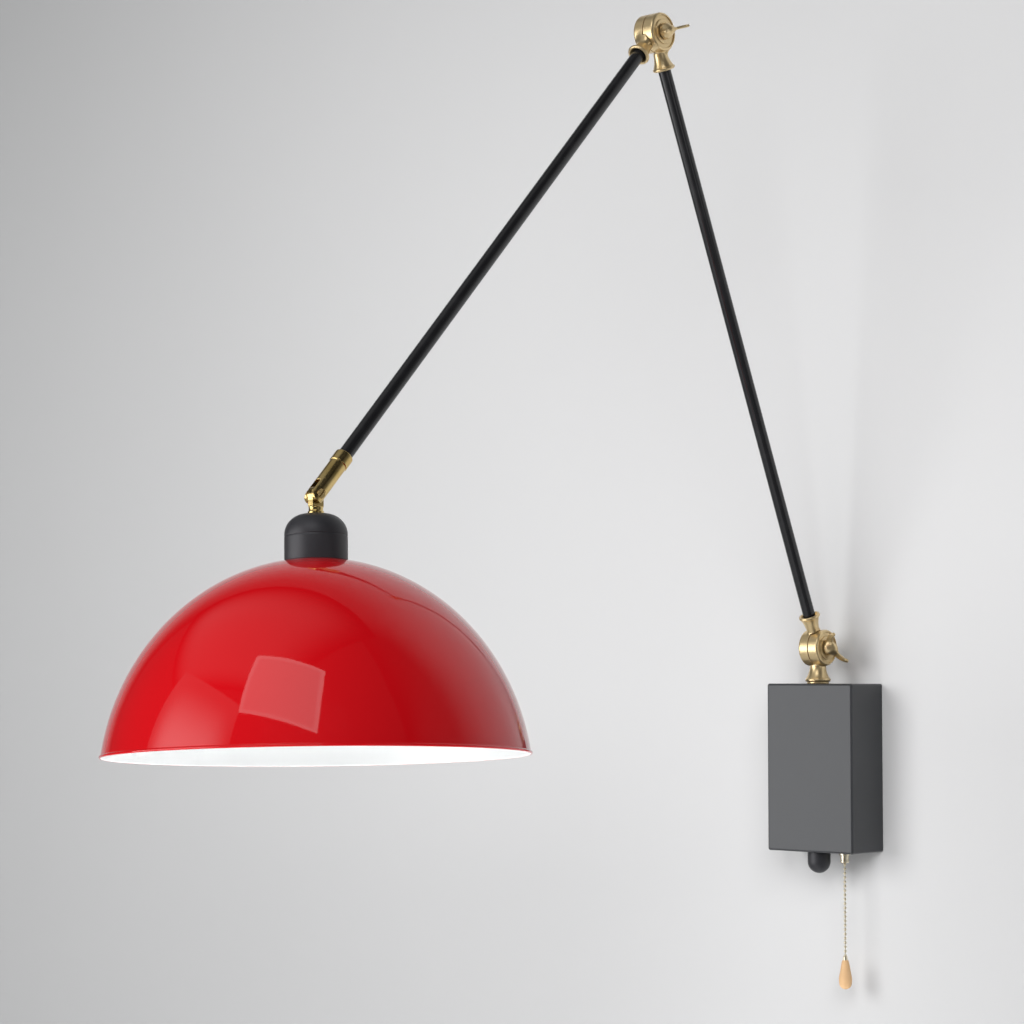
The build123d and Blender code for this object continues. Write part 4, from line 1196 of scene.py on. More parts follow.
@dataclass
class PullChain:
    """Bead chain with its coupling and wooden drop."""

    x: float = 19.3
    from_wall: float = 22.0
    first_bead: float = -78.7
    bead_radius: float = 1.25
    bead_pitch: float = 3.5
    link_radius: float = 0.4
    bead_count: int = 22
    top_count: int = 1
    coupling_height: float = 3.6
    drop_radius: float = 5.35
    drop_height: float = 23.5
    neck_radius: float = 2.6

    def build(self) -> None:
        """Grows both lengths of chain, dresses the coupling and turns the drop."""
        place = Place.along(Vector((self.x, -self.from_wall, self.first_bead)) * MM, DOWN, RIGHT)
        self.strand("top_bead", place, self.top_count, self.top_count, "chain_top")
        below = self.bead_count - self.top_count
        lower = place.moved(z=self.top_count * self.bead_pitch)
        self.strand("bead_strand", lower, below, below - 1, "bead_chain")
        dress(Finish.CHAIN, "chain_coupling")
        foot = (self.bead_count - 1) * self.bead_pitch + self.coupling_height
        made = Lathe(self.drop_outline(), closed=False, sides=72).piece("wooden_drop", place.moved(z=foot))
        hand_over(made, Finish.WOOD.material(), "pendant")

    def strand(self, name: str, place: Place, beads: int, links: int, node: str) -> None:
        """Grows beads on short links along z.

        Args:
            name: Name of the piece.
            place: Middle of its first bead, with z down the chain.
            beads: Number of beads.
            links: Number of links, the first below the first bead.
            node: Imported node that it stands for.
        """
        growth = Growth(name)
        bead_count = growth.size("Beads", beads, "NodeSocketInt")
        link_count = growth.size("Links", links, "NodeSocketInt")
        pitch = growth.size("Pitch", self.bead_pitch * MM)
        bead_radius = growth.size("Bead radius", self.bead_radius * MM)
        link_radius = growth.size("Link radius", self.link_radius * MM)
        step = growth.node("ShaderNodeCombineXYZ", values={"Z": pitch})
        half = growth.node("ShaderNodeCombineXYZ", values={"Z": pitch * 0.5})
        bead_spots = growth.node("GeometryNodeMeshLine", values={"Count": bead_count, "Offset": step})
        link_spots = growth.node("GeometryNodeMeshLine", values={
            "Count": link_count, "Start Location": half, "Offset": step,
        })
        bead = growth.node("GeometryNodeMeshUVSphere", values={
            "Segments": 24, "Rings": 14, "Radius": bead_radius,
        })
        link = growth.node("GeometryNodeMeshCylinder", values={
            "Vertices": 12, "Radius": link_radius, "Depth": pitch - bead_radius * 1.7,
        })
        made = [
            growth.node("GeometryNodeInstanceOnPoints", values={"Points": spots, "Instance": shape})
            for spots, shape in ((bead_spots, bead), (link_spots, link))
        ]
        piece = growth.grow(growth.joined(*made), Finish.CHAIN.material(), place)
        hand_over(piece, Finish.CHAIN.material(), node)

    def drop_outline(self) -> list[Pair]:
        """Returns the outline of the drop, from the hole in its top round to its tip."""
        shares = ((self.neck_radius / self.drop_radius, 0.0), (0.8, 0.38), (1.0, 0.68), (0.76, 0.92), (0.0, 1.0))
        knots = np.array([(r * self.drop_radius, h * self.drop_height) for r, h in shares])
        run = np.concatenate([[0.0], np.cumsum(np.linalg.norm(np.diff(knots, axis=0), axis=1))])
        slopes = np.gradient(knots, run, axis=0)
        slopes[0] = Vector((0.25, 1.0)).normalized()
        slopes[-1] = (-1.0, 0.0)
        curve = []
        for i in range(len(run) - 1):
            span = run[i + 1] - run[i]
            for t in np.linspace(0, 1, 13)[: 12 if i < len(run) - 2 else 13]:
                weights = (2 * t**3 - 3 * t**2 + 1, t**3 - 2 * t**2 + t, 3 * t**2 - 2 * t**3, t**3 - t**2)
                sides = (knots[i], slopes[i] * span, knots[i + 1], slopes[i + 1] * span)
                spot = sum(w * s for w, s in zip(weights, sides))
                curve.append((max(float(spot[0]), 0.0), float(spot[1])))
        top = rounded([
            (0.0, 1.2, 0.0),
            (0.9, 1.2, 0.0),
            (0.9, 0.0, 0.15),
            (self.neck_radius - 0.35, 0.0, 0.3),
            (self.neck_radius, 0.6, 0.0),
        ], closed=False)
        return top + [spot for spot in curve if spot[1] > 0.9]


@dataclass
class Knuckle:
    """Lapped friction knuckle: two half-lapped castings and the wing screw that clamps them."""

    name: str
    pivot: Vector
    wing_angle: float
    radius: float = 14.8
    thickness: float = 19.2
    edge: float = 2.0
    washer: float = 0.6
    washer_width: float = 2.8
    lap_gap: float = 0.5
    ring_radius: float = 12.6
    boss_radius: float = 9.6
    ring_depth: float = 0.9
    wireway_depth: float = 3.6
    wireway_wall: float = 1.0
    flex_radius: float = 2.3
    screw_radius: float = 3.0
    screw_clearance: float = 0.05
    screw_engagement: float = 5.0
    screw_end_gap: float = 0.3
    screw_wall: float = 2.4
    hub_radius: float = 6.4
    hub_nose_radius: float = 3.0
    hub_height: float = 7.6
    hub_crown: float = 1.4
    wing_root: float = 2.4
    wing_tip_radius: float = 1.7
    wing_thickness: float = 2.2
    wing_reach: float = 15.8
    wing_height: float = 14.0
    blend: float = 1.6
    spot_face: float = 0.06
    net: float = 0.4

    def half(
        self, name: str, node: str, direction: Vector, side: int, blend: float,
        outside: Sequence[Pair], bore: Sequence[Pair],
    ) -> None:
        """Casts one half with its socket or stem.

        Args:
            name: Name of the piece.
            node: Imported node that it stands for.
            direction: Direction of its socket from the pivot.
            side: 1 for the half under the wing screw, -1 for the half that it is threaded into.
            blend: Radius of the fillet between its disc and its socket, on the side away from the other half.
            outside: Outline of the socket, radius against distance from the pivot.
            bore: Outline of its bore.
        """
        face, back = self.washer / 2, self.thickness / 2
        disc = bar(0, self.radius).shared(slab(0, face - 4.0, back), self.edge)
        socket = turned(outside)
        outer_side = Form(lambda p: p[:, 1])
        gusset = disc.joined(socket, blend).shared(outer_side, 3.0)
        body = disc.joined(socket, min(blend, self.blend)).joined(gusset, 0.0)
        body = body.cut(pin(0, self.radius + self.lap_gap, -self.thickness, face), 0.12)
        if side > 0:
            ring = bar(0, self.ring_radius).cut(bar(0, self.boss_radius), 0.0)
            body = body.cut(ring.shared(slab(0, back - self.ring_depth, self.thickness), 0.0), 0.3)
            body = body.cut(pin(0, self.hub_radius + 0.7, back - self.spot_face, self.thickness), 0.04)
        boss = self.screw_radius + self.screw_wall
        wireway = self.radius - self.washer_width - self.wireway_wall
        way = bar(0, wireway).cut(bar(0, boss), 0.0).shared(slab(0, -face, face + self.wireway_depth), 0.0)
        body = body.cut(way, 0.2)
        passage = pin(2, self.flex_radius, boss, self.radius + self.lap_gap)
        body = body.cut(passage, 0.2).cut(turned(bore), 0.25)
        end = self.thickness if side > 0 else face + self.screw_engagement + self.screw_end_gap
        body = body.cut(pin(0, self.screw_radius + self.screw_clearance, -face, end), 0.2)
        wide, long = self.radius + 1.0, outside[-1][1] + 1.0
        grid = Grid((-11.2, -wide, -wide), (back + 1.0, wide, long), self.net)
        place = Place.along(self.pivot, direction, RIGHT * side)
        hand_over(cast(name, place, body, grid), Finish.BRASS.material(), node)

    def wing_screw(self, node: str) -> None:
        """Casts the wing screw, with its wings drawn into the hub.

        Args:
            node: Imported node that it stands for.
        """
        seat = self.thickness / 2
        nose, crown = seat + self.hub_height, seat + self.hub_height + self.hub_crown
        end = -(self.washer / 2 + self.screw_engagement)
        hub = turned(
            rounded([
                (0.0, end, 0.0),
                (self.screw_radius, end, 0.4),
                (self.screw_radius, seat, 0.0),
                (self.hub_radius, seat, 0.5),
            ], closed=False)[:-1]
            + leaving_arc((self.hub_radius, seat), (0.0, 1.0), (self.hub_nose_radius, nose))[1:]
            + arc(
                (self.hub_nose_radius, nose),
                (self.hub_nose_radius * 0.7, nose + self.hub_crown * 0.6),
                (0.0, crown),
            )[1:]
        )
        root, tip = seat + self.wing_root, seat + self.wing_height
        reach, round_tip = self.wing_reach, self.wing_tip_radius
        side = (
            arc((self.hub_radius, root), (reach * 0.8, root + (tip - root) * 0.34), (reach, tip - round_tip))
            + arc(
                (reach, tip - round_tip), (reach - round_tip, tip), (reach - 2 * round_tip, tip - round_tip)
            )[1:]
            + arc(
                (reach - 2 * round_tip, tip - round_tip),
                (reach * 0.55, nose + (tip - nose) * 0.3),
                (self.hub_nose_radius, nose),
            )[1:]
        )
        outline = [(0.0, root)] + side + [(0.0, nose)] + [(-x, z) for x, z in reversed(side)]
        wings = blade(outline, self.wing_thickness / 2, self.wing_thickness * 0.46)
        body = hub.joined(wings, 3.0)
        wide = self.wing_reach + 0.8
        grid = Grid((-wide, -self.hub_radius - 1.0, end - 0.8), (wide, self.hub_radius + 1.0, tip + 0.8), 0.32)
        angle = math.radians(self.wing_angle)
        place = Place.along(self.pivot, RIGHT, Vector((0.0, math.cos(angle), math.sin(angle))))
        hand_over(cast(self.name + "_wing_screw_casting", place, body, grid), Finish.BRASS.material(), node)


@dataclass
class Stem:
    """Stem that stands on the box, with its washer and the flex inside."""

    half_height: float = 68.5
    from_wall: float = 30.5
    pivot_height: float = 29.4
    neck_root: float = 8.0
    neck_start: float = 14.8
    neck_radius: float = 6.6
    foot_radius: float = 10.4
    foot_lip: float = 3.0
    thread_depth: float = 10.5
    rod_radius: float = 5.0
    flex_radius: float = 2.3
    washer_radius: float = 9.0
    washer_height: float = 1.6

    def outlines(self) -> tuple[list[Pair], list[Pair]]:
        """Returns the outlines of the stem's outside and of its bore, radius against distance below the pivot."""
        foot = self.pivot_height - self.washer_height
        lip_start = foot - self.foot_lip
        lip_radius = self.foot_radius - self.foot_lip / 4
        outside = (
            [(0.0, self.neck_root), (self.neck_radius, self.neck_root)]
            + leaving_arc((self.neck_radius, self.neck_start), (0.0, 1.0), (lip_radius, lip_start))
            + arc(
                (lip_radius, lip_start), (self.foot_radius, foot - self.foot_lip / 2), (lip_radius, foot)
            )[1:]
            + [(0.0, foot)]
        )
        seat = foot - self.thread_depth
        bore = [
            (0.0, self.neck_root), (self.flex_radius, self.neck_root), (self.flex_radius, seat),
            (self.rod_radius, seat), (self.rod_radius, foot + 3.0), (0.0, foot + 3.0),
        ]
        return outside, bore

    def build(self) -> None:
        """Turns the washer and dresses the flex."""
        place = Place.along(Vector((0, -self.from_wall, self.half_height)) * MM, UP, RIGHT)
        made = Lathe(rounded([
            (self.rod_radius, 0.0, 0.1),
            (self.washer_radius, 0.0, 0.5),
            (self.washer_radius, self.washer_height, 0.5),
            (self.rod_radius, self.washer_height, 0.1),
        ], closed=True), sides=96).piece("stem_washer", place)
        hand_over(made, Finish.BRASS.material(), "swivel_washer")
        dress(Finish.FLEX, "stem_flex")
        dress(Finish.FIBRE, "lower_friction_washer", "upper_friction_washer")


@dataclass
class BellSocket:
    """Belled socket that a tube of an arm is held in."""

    neck_root: float = 8.0
    neck_radius: float = 5.2
    mouth_radius: float = 8.75
    length: float = 29.4
    lip: float = 2.8
    wall: float = 2.0
    flare_depth: float = 5.0
    tube_radius: float = 5.0
    tube_bore: float = 4.0
    tube_seat: float = 21.8
    nipple_stop: float = 15.2
    flex_radius: float = 2.3

    def outlines(self) -> tuple[list[Pair], list[Pair]]:
        """Returns the outlines of the socket's outside and of its bore, radius against distance from the pivot."""
        lip_start = self.length - self.lip
        lip_radius = self.mouth_radius - self.lip / 3
        outside = (
            [(0.0, self.neck_root), (self.neck_radius, self.neck_root)]
            + leaving_arc((self.neck_radius, self.nipple_stop), (0.0, 1.0), (lip_radius, lip_start))
            + arc(
                (lip_radius, lip_start),
                (self.mouth_radius, self.length - self.lip / 2),
                (lip_radius, self.length),
            )[1:]
            + [(0.0, self.length)]
        )
        beyond = self.length + 2.0
        bore = [
            (0.0, self.neck_root), (self.flex_radius, self.neck_root), (self.flex_radius, self.nipple_stop),
            (self.tube_bore, self.nipple_stop), (self.tube_bore, self.tube_seat), (self.tube_radius, self.tube_seat),
            (self.tube_radius, self.length - self.flare_depth), (self.mouth_radius - self.wall, self.length),
            (self.mouth_radius - self.wall, beyond), (0.0, beyond),
        ]
        return outside, bore


@dataclass
class EndSwivel:
    """Slotted sleeve on the end of the front arm, with its screw and the tongue that turns in it."""

    fork_radius: float = 6.1
    collar_radius: float = 6.6
    collar_length: float = 9.0
    fork_length: float = 37.8
    fork_seat: float = 29.8
    nipple_stop: float = 22.8
    slot_depth: float = 9.0
    slot_width: float = 5.2
    tube_radius: float = 5.0
    tube_bore: float = 4.0
    flex_radius: float = 2.3
    eye_radius: float = 5.6
    eye_thickness: float = 5.0
    tongue_width: float = 9.6
    tongue_shoulder: float = 8.2
    tongue_collar_radius: float = 5.4
    tongue_collar_length: float = 1.6
    tongue_bore: float = 1.6
    stud_radius: float = 4.0
    stud_length: float = 7.0
    cap_drop: float = 13.0
    screw_radius: float = 2.0
    screw_clearance: float = 0.05
    head_radius: float = 3.2
    head_height: float = 1.3
    head_slot: float = 0.8

    def build(self, pivot: Vector, fork_dir: Vector, shade_dir: Vector, hinge: Vector) -> None:
        """Cuts the three pieces of the swivel.

        Args:
            pivot: Point that the swivel turns about.
            fork_dir: Direction of the arm from it.
            shade_dir: Direction of the shade from it.
            hinge: Axis of its screw, towards the head.
        """
        hand_over(self.fork(Place.along(pivot, fork_dir, hinge)), Finish.POLISHED.material(), "swivel_fork")
        hand_over(self.tongue(Place.along(pivot, shade_dir, hinge)), Finish.POLISHED.material(), "swivel_tongue")
        hand_over(self.screw(Place.along(pivot, hinge, fork_dir)), Finish.BRIGHT_BRASS.material(), "swivel_screw")

    def fork(self, place: Place) -> bpy.types.Object:
        """Cuts the sleeve, with z along the arm and x along the screw."""
        collar = self.fork_length - self.collar_length
        step = self.collar_radius - self.fork_radius
        body = turned(rounded([
            (0.0, -self.fork_radius - 2.0, 0.0),
            (self.fork_radius, -self.fork_radius - 2.0, 0.0),
            (self.fork_radius, collar, 0.3),
            (self.collar_radius, collar + step, 0.3),
            (self.collar_radius, self.fork_length, 0.6),
            (0.0, self.fork_length, 0.0),
        ], closed=False))

        def end_round(p: np.ndarray) -> np.ndarray:
            """Distance to the rounding of the slotted end about the screw."""
            room = np.clip(p[:, 2], 0, 10) * 0.1
            return np.hypot(p[:, 1], np.minimum(p[:, 2], 0)) - self.fork_radius - room

        body = body.shared(Form(end_round), 0.5)
        half = self.slot_width / 2
        slot = slab(0, -half, half).shared(slab(2, -20.0, self.slot_depth), 0.0)
        bore = turned([
            (0.0, self.slot_depth - 1.0), (self.flex_radius, self.slot_depth - 1.0),
            (self.flex_radius, self.nipple_stop), (self.tube_bore, self.nipple_stop),
            (self.tube_bore, self.fork_seat), (self.tube_radius, self.fork_seat),
            (self.tube_radius, self.fork_length + 2.0), (0.0, self.fork_length + 2.0),
        ])
        seat = pin(0, self.head_radius, self.fork_radius - self.head_height, self.fork_radius + 3.0)
        body = body.cut(slot, 0.3).cut(bore, 0.3).cut(bar(0, self.screw_radius).shared(slab(2, -4, 4), 0), 0.15)
        body = body.cut(seat, 0.2)
        side = self.collar_radius + 0.8
        grid = Grid((-side, -side, -self.fork_radius - 0.8), (side, side, self.fork_length + 0.8), 0.28)
        return cast("slotted_sleeve", place, body, grid)

    def tongue(self, place: Place) -> bpy.types.Object:
        """Cuts the tongue, with z along its stud and x along the screw."""
        half = self.eye_thickness / 2
        plate = slab(1, -self.tongue_width / 2, self.tongue_width / 2).shared(slab(2, 0.0, self.tongue_shoulder), 0.0)
        eye = bar(0, self.eye_radius).joined(plate, 0.4).shared(slab(0, -half, half), 0.35)
        end = self.cap_drop + self.stud_length
        neck = turned(rounded([
            (0.0, self.tongue_shoulder, 0.0),
            (self.tongue_width / 2, self.tongue_shoulder, 0.4),
            (self.tongue_width / 2, (self.tongue_shoulder + self.cap_drop) / 2, 0.5),
            (self.tongue_collar_radius, self.cap_drop - self.tongue_collar_length, 0.4),
            (self.tongue_collar_radius, self.cap_drop, 0.3),
            (self.stud_radius, self.cap_drop, 0.0),
            (self.stud_radius, end, 0.3),
            (0.0, end, 0.0),
        ], closed=False))
        body = eye.joined(neck, 0.7)
        body = body.cut(bar(0, self.screw_radius + self.screw_clearance).shared(slab(2, -4, 4), 0), 0.15)
        body = body.cut(pin(2, self.tongue_bore, self.tongue_shoulder, end + 4.0), 0.2)
        side = self.eye_radius + 0.7
        return cast("swivel_eye", place, body, Grid((-side, -side, -side), (side, side, end + 0.7), 0.25))

    def screw(self, place: Place) -> bpy.types.Object:
        """Cuts the screw, with z towards its slotted head."""
        seat = self.fork_radius - self.head_height
        shaft = pin(2, self.screw_radius, -seat, seat + 0.3, 0.2)
        body = shaft.joined(pin(2, self.head_radius, seat, self.fork_radius, 0.3), 0.0)
        slot = slab(1, -self.head_slot / 2, self.head_slot / 2).shared(
            slab(2, self.fork_radius - self.head_slot, self.fork_radius + 3.0), 0.0
        )
        body = body.cut(slot, 0.1)
        side = self.head_radius + 0.5
        grid = Grid((-side, -side, -seat - 0.5), (side, side, self.fork_radius + 0.5), 0.2)
        return cast("swivel_pin", place, body, grid)


@dataclass
class Arms:
    """Both tubular arms with the two knuckles that join them."""

    lower_wing_angle: float = -49.0
    upper_wing_angle: float = 19.5

    def build(self) -> None:
        """Casts the knuckles and dresses the tubes and what runs in them."""
        lower, upper, end = (joint_point(name) for name in ("lower_elbow", "upper_elbow", "end_swivel"))
        rear, front = upper - lower, end - upper
        socket = BellSocket().outlines()
        low = Knuckle("lower", lower, self.lower_wing_angle)
        low.half("stem_casting", "stem_knuckle", DOWN, 1, 1.0, *Stem().outlines())
        low.half("rear_foot_casting", "rear_arm_foot", rear, -1, 4.0, *socket)
        low.wing_screw("lower_wing_screw")
        high = Knuckle("upper", upper, self.upper_wing_angle)
        high.half("rear_head_casting", "rear_arm_head", -rear, 1, 6.0, *socket)
        high.half("front_head_casting", "front_arm_head", front, -1, 6.0, *socket)
        high.wing_screw("upper_wing_screw")
        dress(Finish.BLACK, "rear_arm_tube", "front_arm_tube")
        dress(Finish.BRIGHT_BRASS, "rear_arm_nipples", "front_arm_nipples")
        dress(Finish.FLEX, "rear_arm_flex", "front_arm_flex")
        hinge = joint_axis("end_swivel")
        EndSwivel().build(end, -front, mount_axis("lamp_socket"), hinge * (1 if hinge.x > 0 else -1))


@dataclass
class LampHolder:
    """Black cover with the lamp holder and its threaded shell inside."""

    cap_radius: float = 21.0
    cap_drop: float = 13.0
    cap_height: float = 31.5
    shoulder: float = 14.0
    wall: float = 1.5
    stud_radius: float = 4.0
    groove: float = 0.22
    shell_radius: float = 13.3
    shell_wall: float = 0.4
    shell_start: float = 39.9
    shell_length: float = 24.0
    thread_pitch: float = 3.6
    thread_depth: float = 0.85

    def build(self) -> None:
        """Turns the cover and rolls the shell, and dresses what is moulded."""
        place = Place.along(joint_point("end_swivel"), mount_axis("lamp_socket"), joint_axis("end_swivel"))
        made = Lathe(self.cap_outline(), sides=144).piece("holder_cover", place)
        hand_over(made, Finish.CAP.material(), "holder_cap")
        hand_over(self.shell(place), Finish.NICKEL.material(), "holder_shell")
        dress(Finish.HOLDER, "lamp_holder", "shade_ring")
        dress(Finish.BRIGHT_BRASS, "holder_contact")

    def bend(self, radius: float, bend: float, start: float) -> list[Pair]:
        """Returns the quarter arc from the top of the cover to its side."""
        middle = bend * (1 - math.sqrt(0.5))
        return arc((radius - bend, start), (radius - middle, start + middle), (radius, start + bend), 20)

    def cap_outline(self) -> list[Pair]:
        """Returns the closed outline of the cover, with a fine groove under its shoulder."""
        seat = self.cap_drop + self.cap_height
        below = self.cap_drop + self.shoulder
        groove = [
            (self.cap_radius, below + 0.3), (self.cap_radius - self.groove, below + 0.6),
            (self.cap_radius - self.groove, below + 0.9), (self.cap_radius, below + 1.2),
        ]
        foot = rounded([
            (self.cap_radius, below + 2.0, 0.0),
            (self.cap_radius, seat, 0.6),
            (self.cap_radius - self.wall, seat, 0.3),
            (self.cap_radius - self.wall, below, 0.0),
        ], closed=False)
        inside = self.bend(self.cap_radius - self.wall, self.shoulder - self.wall, self.cap_drop + self.wall)
        return (
            [(self.stud_radius, self.cap_drop)]
            + self.bend(self.cap_radius, self.shoulder, self.cap_drop)
            + groove + foot[:-1] + inside[::-1]
            + [(self.stud_radius, self.cap_drop + self.wall)]
        )

    def shell(self, place: Place) -> bpy.types.Object:
        """Rolls the threaded shell as one sheet with its round thread.

        Args:
            place: Place of the swivel, with z towards the shade.

        Returns:
            The piece.
        """
        sides, rows = 72, 60
        turns = np.linspace(0, 2 * math.pi, sides, endpoint=False)
        heights = np.linspace(0, self.shell_length, rows + 1)
        turn, height = np.meshgrid(turns, heights)
        fade = np.clip(np.minimum(height, self.shell_length - height) / self.thread_pitch, 0, 1)
        wave = 0.5 - 0.5 * np.cos(2 * math.pi * (height / self.thread_pitch - turn / (2 * math.pi)))
        skins = []
        for base in (self.shell_radius + self.shell_wall, self.shell_radius):
            radius = base - self.thread_depth * fade * wave
            skins.append(np.stack((radius * np.cos(turn), radius * np.sin(turn), height + self.shell_start), axis=-1))
        points = np.concatenate([skin.reshape(-1, 3) for skin in skins])
        inner = sides * (rows + 1)
        faces = []
        for i in range(rows):
            for j in range(sides):
                a, b = i * sides + j, i * sides + (j + 1) % sides
                faces.append((a, b, b + sides, a + sides))
                faces.append((inner + a, inner + a + sides, inner + b + sides, inner + b))
        last = rows * sides
        for j in range(sides):
            k = (j + 1) % sides
            faces.append((k, j, inner + j, inner + k))
            faces.append((last + j, last + k, inner + last + k, inner + last + j))
        mesh = bpy.data.meshes.new("threaded_shell")
        mesh.from_pydata(place.points(points).tolist(), [], faces)
        mesh.polygons.foreach_set("use_smooth", np.ones(len(faces), bool))
        mesh.set_sharp_from_angle(angle=math.radians(50))
        return new_object("threaded_shell", mesh)


@dataclass
class Shade:
    """Spun dome shade with a rolled hem."""

    rim_radius: float = 140.0
    seat_radius: float = 22.0
    depth: float = 128.5
    bulge_drop: float = 21.5
    wall: float = 0.8
    hem: float = 0.9
    seat: float = 44.5
    hole_radius: float = 18.4
    rows: int = 56

    def ellipse(self) -> Pair:
        """Returns the half axes of the dome's ellipse, across and along its axis."""
        bulge = self.depth + self.bulge_drop
        term = (self.seat_radius * self.bulge_drop) ** 2 - (bulge * self.rim_radius) ** 2
        across = 1 / math.sqrt((self.bulge_drop**2 - bulge**2) / term)
        along = 1 / math.sqrt((self.seat_radius**2 - self.rim_radius**2) / term)
        return across, along

    def wall_line(self, inset: float, start: float, end: float) -> list[Pair]:
        """Returns points down the dome's wall.

        Args:
            inset: Distance in from its outside.
            start: First distance below the pivot.
            end: Last distance below the pivot.

        Returns:
            Points of radius and distance below the pivot.
        """
        across, along = self.ellipse()
        middle = self.seat + self.depth + self.bulge_drop
        line = []
        for i in range(self.rows + 1):
            height = start + (end - start) * (i / self.rows) ** 1.6
            share = (middle - height) / (along - inset)
            line.append(((across - inset) * math.sqrt(1 - share**2), height))
        return line

    def build(self) -> None:
        """Spins the shade, red outside and white inside."""
        rim = self.seat + self.depth
        hem_height = rim - self.hem
        bowl = self.wall_line(0.0, self.seat, rim - 2.9 * self.hem)
        above_hem = self.wall_line(0.0, rim - 2.7 * self.hem, rim - 2.2 * self.hem)
        outer = bowl + above_hem[::14]
        inner = self.wall_line(self.wall, self.seat + self.wall, rim - 1.6 * self.hem)
        roll = [
            (self.rim_radius + self.hem * math.cos(turn), hem_height + self.hem * math.sin(turn))
            for turn in np.radians(np.linspace(-62, 176, 15))
        ]
        flange = [(self.hole_radius, self.seat + self.wall), (self.hole_radius, self.seat)]
        place = Place.along(joint_point("end_swivel"), mount_axis("lamp_socket"), joint_axis("end_swivel"))
        made = Lathe(outer + roll + inner[::-1] + flange, sides=224).piece("dome_shade", place)
        across, along = self.ellipse()
        half = self.wall / 2
        centre = place.moved(z=rim + self.bulge_drop).origin
        paint = ShadeEnamel(centre, place.z, (across - half) * MM, (along - half) * MM)
        hand_over(made, paint.material(), "shade")


# Studio


@dataclass(frozen=True)
class Fill:
    """Soft rectangular lamp that lights the object without showing in its gloss."""

    name: str
    place: Vector
    target: Vector
    width: float
    height: float
    glow: float
    spread: float = 180.0
    watts_per_glow: float = 4.0

    def build(self) -> None:
        """Hangs the lamp in its place, turned to its target."""
        data = bpy.data.lights.new(self.name, "AREA")
        data.shape = "RECTANGLE"
        data.size, data.size_y = self.width, self.height
        data.energy = self.watts_per_glow * self.glow * self.width * self.height
        data.spread = math.radians(self.spread)
        lamp = bpy.data.objects.new(self.name, data)
        lamp.location = self.place
        lamp.rotation_euler = (self.target - self.place).to_track_quat("-Z", "Y").to_euler()
        lamp.visible_glossy = False
        bpy.context.scene.collection.objects.link(lamp)


@dataclass(frozen=True)
class Softbox:
    """Glowing sheet that the gloss mirrors, which lights nothing else and which the camera doesn't see."""

    name: str
    corners: tuple[Vector, Vector, Vector, Vector]
    glow: float
    rim_glow: float = 0.0
    peak_glow: float = 0.0
    soft_glow: float = 0.0

    def build(self) -> None:
        """Makes the sheet from its corners, anticlockwise from the foot."""
        mesh = bpy.data.meshes.new(self.name)
        mesh.from_pydata([tuple(c) for c in self.corners], [], [(0, 1, 2, 3)])
        layer = mesh.uv_layers.new(name="sheet")
        for loop, spot in zip(layer.data, ((0, 0), (1, 0), (1, 1), (0, 1))):
            loop.uv = spot
        graph = Graph(self.name)
        spot = graph.node("ShaderNodeSeparateXYZ", values={0: graph.node("ShaderNodeTexCoord", output="UV")})
        across, up = spot, Socket(graph, spot.raw.node.outputs["Y"])
        side, level = 4.0 * across * (1.0 - across), 4.0 * up * (1.0 - up)
        ripple = (across * 80.0).sine() * 0.015
        inner = side.smooth(0.16, 0.26) * (level + ripple).smooth(0.16, 0.26)
        peak = side.smooth(0.05, 1.0) * (1.0 - up.smooth(0.05, 0.9))
        soft = side.smooth(0.0, 0.8) * level.smooth(0.0, 0.8)
        strength = self.glow + (1.0 - inner) * self.rim_glow + peak * self.peak_glow + soft * self.soft_glow
        graph.end(graph.node("ShaderNodeEmission", values={"Strength": strength}))
        mesh.materials.append(graph.material)
        made = new_object(self.name, mesh)
        made.visible_camera = made.visible_diffuse = made.visible_shadow = False


def bearing(azimuth: float, elevation: float) -> Vector:
    """Direction to a point at an azimuth from -Y towards +X and an elevation, in degrees."""
    a, e = math.radians(azimuth), math.radians(elevation)
    return Vector((math.sin(a) * math.cos(e), -math.cos(a) * math.cos(e), math.sin(e)))


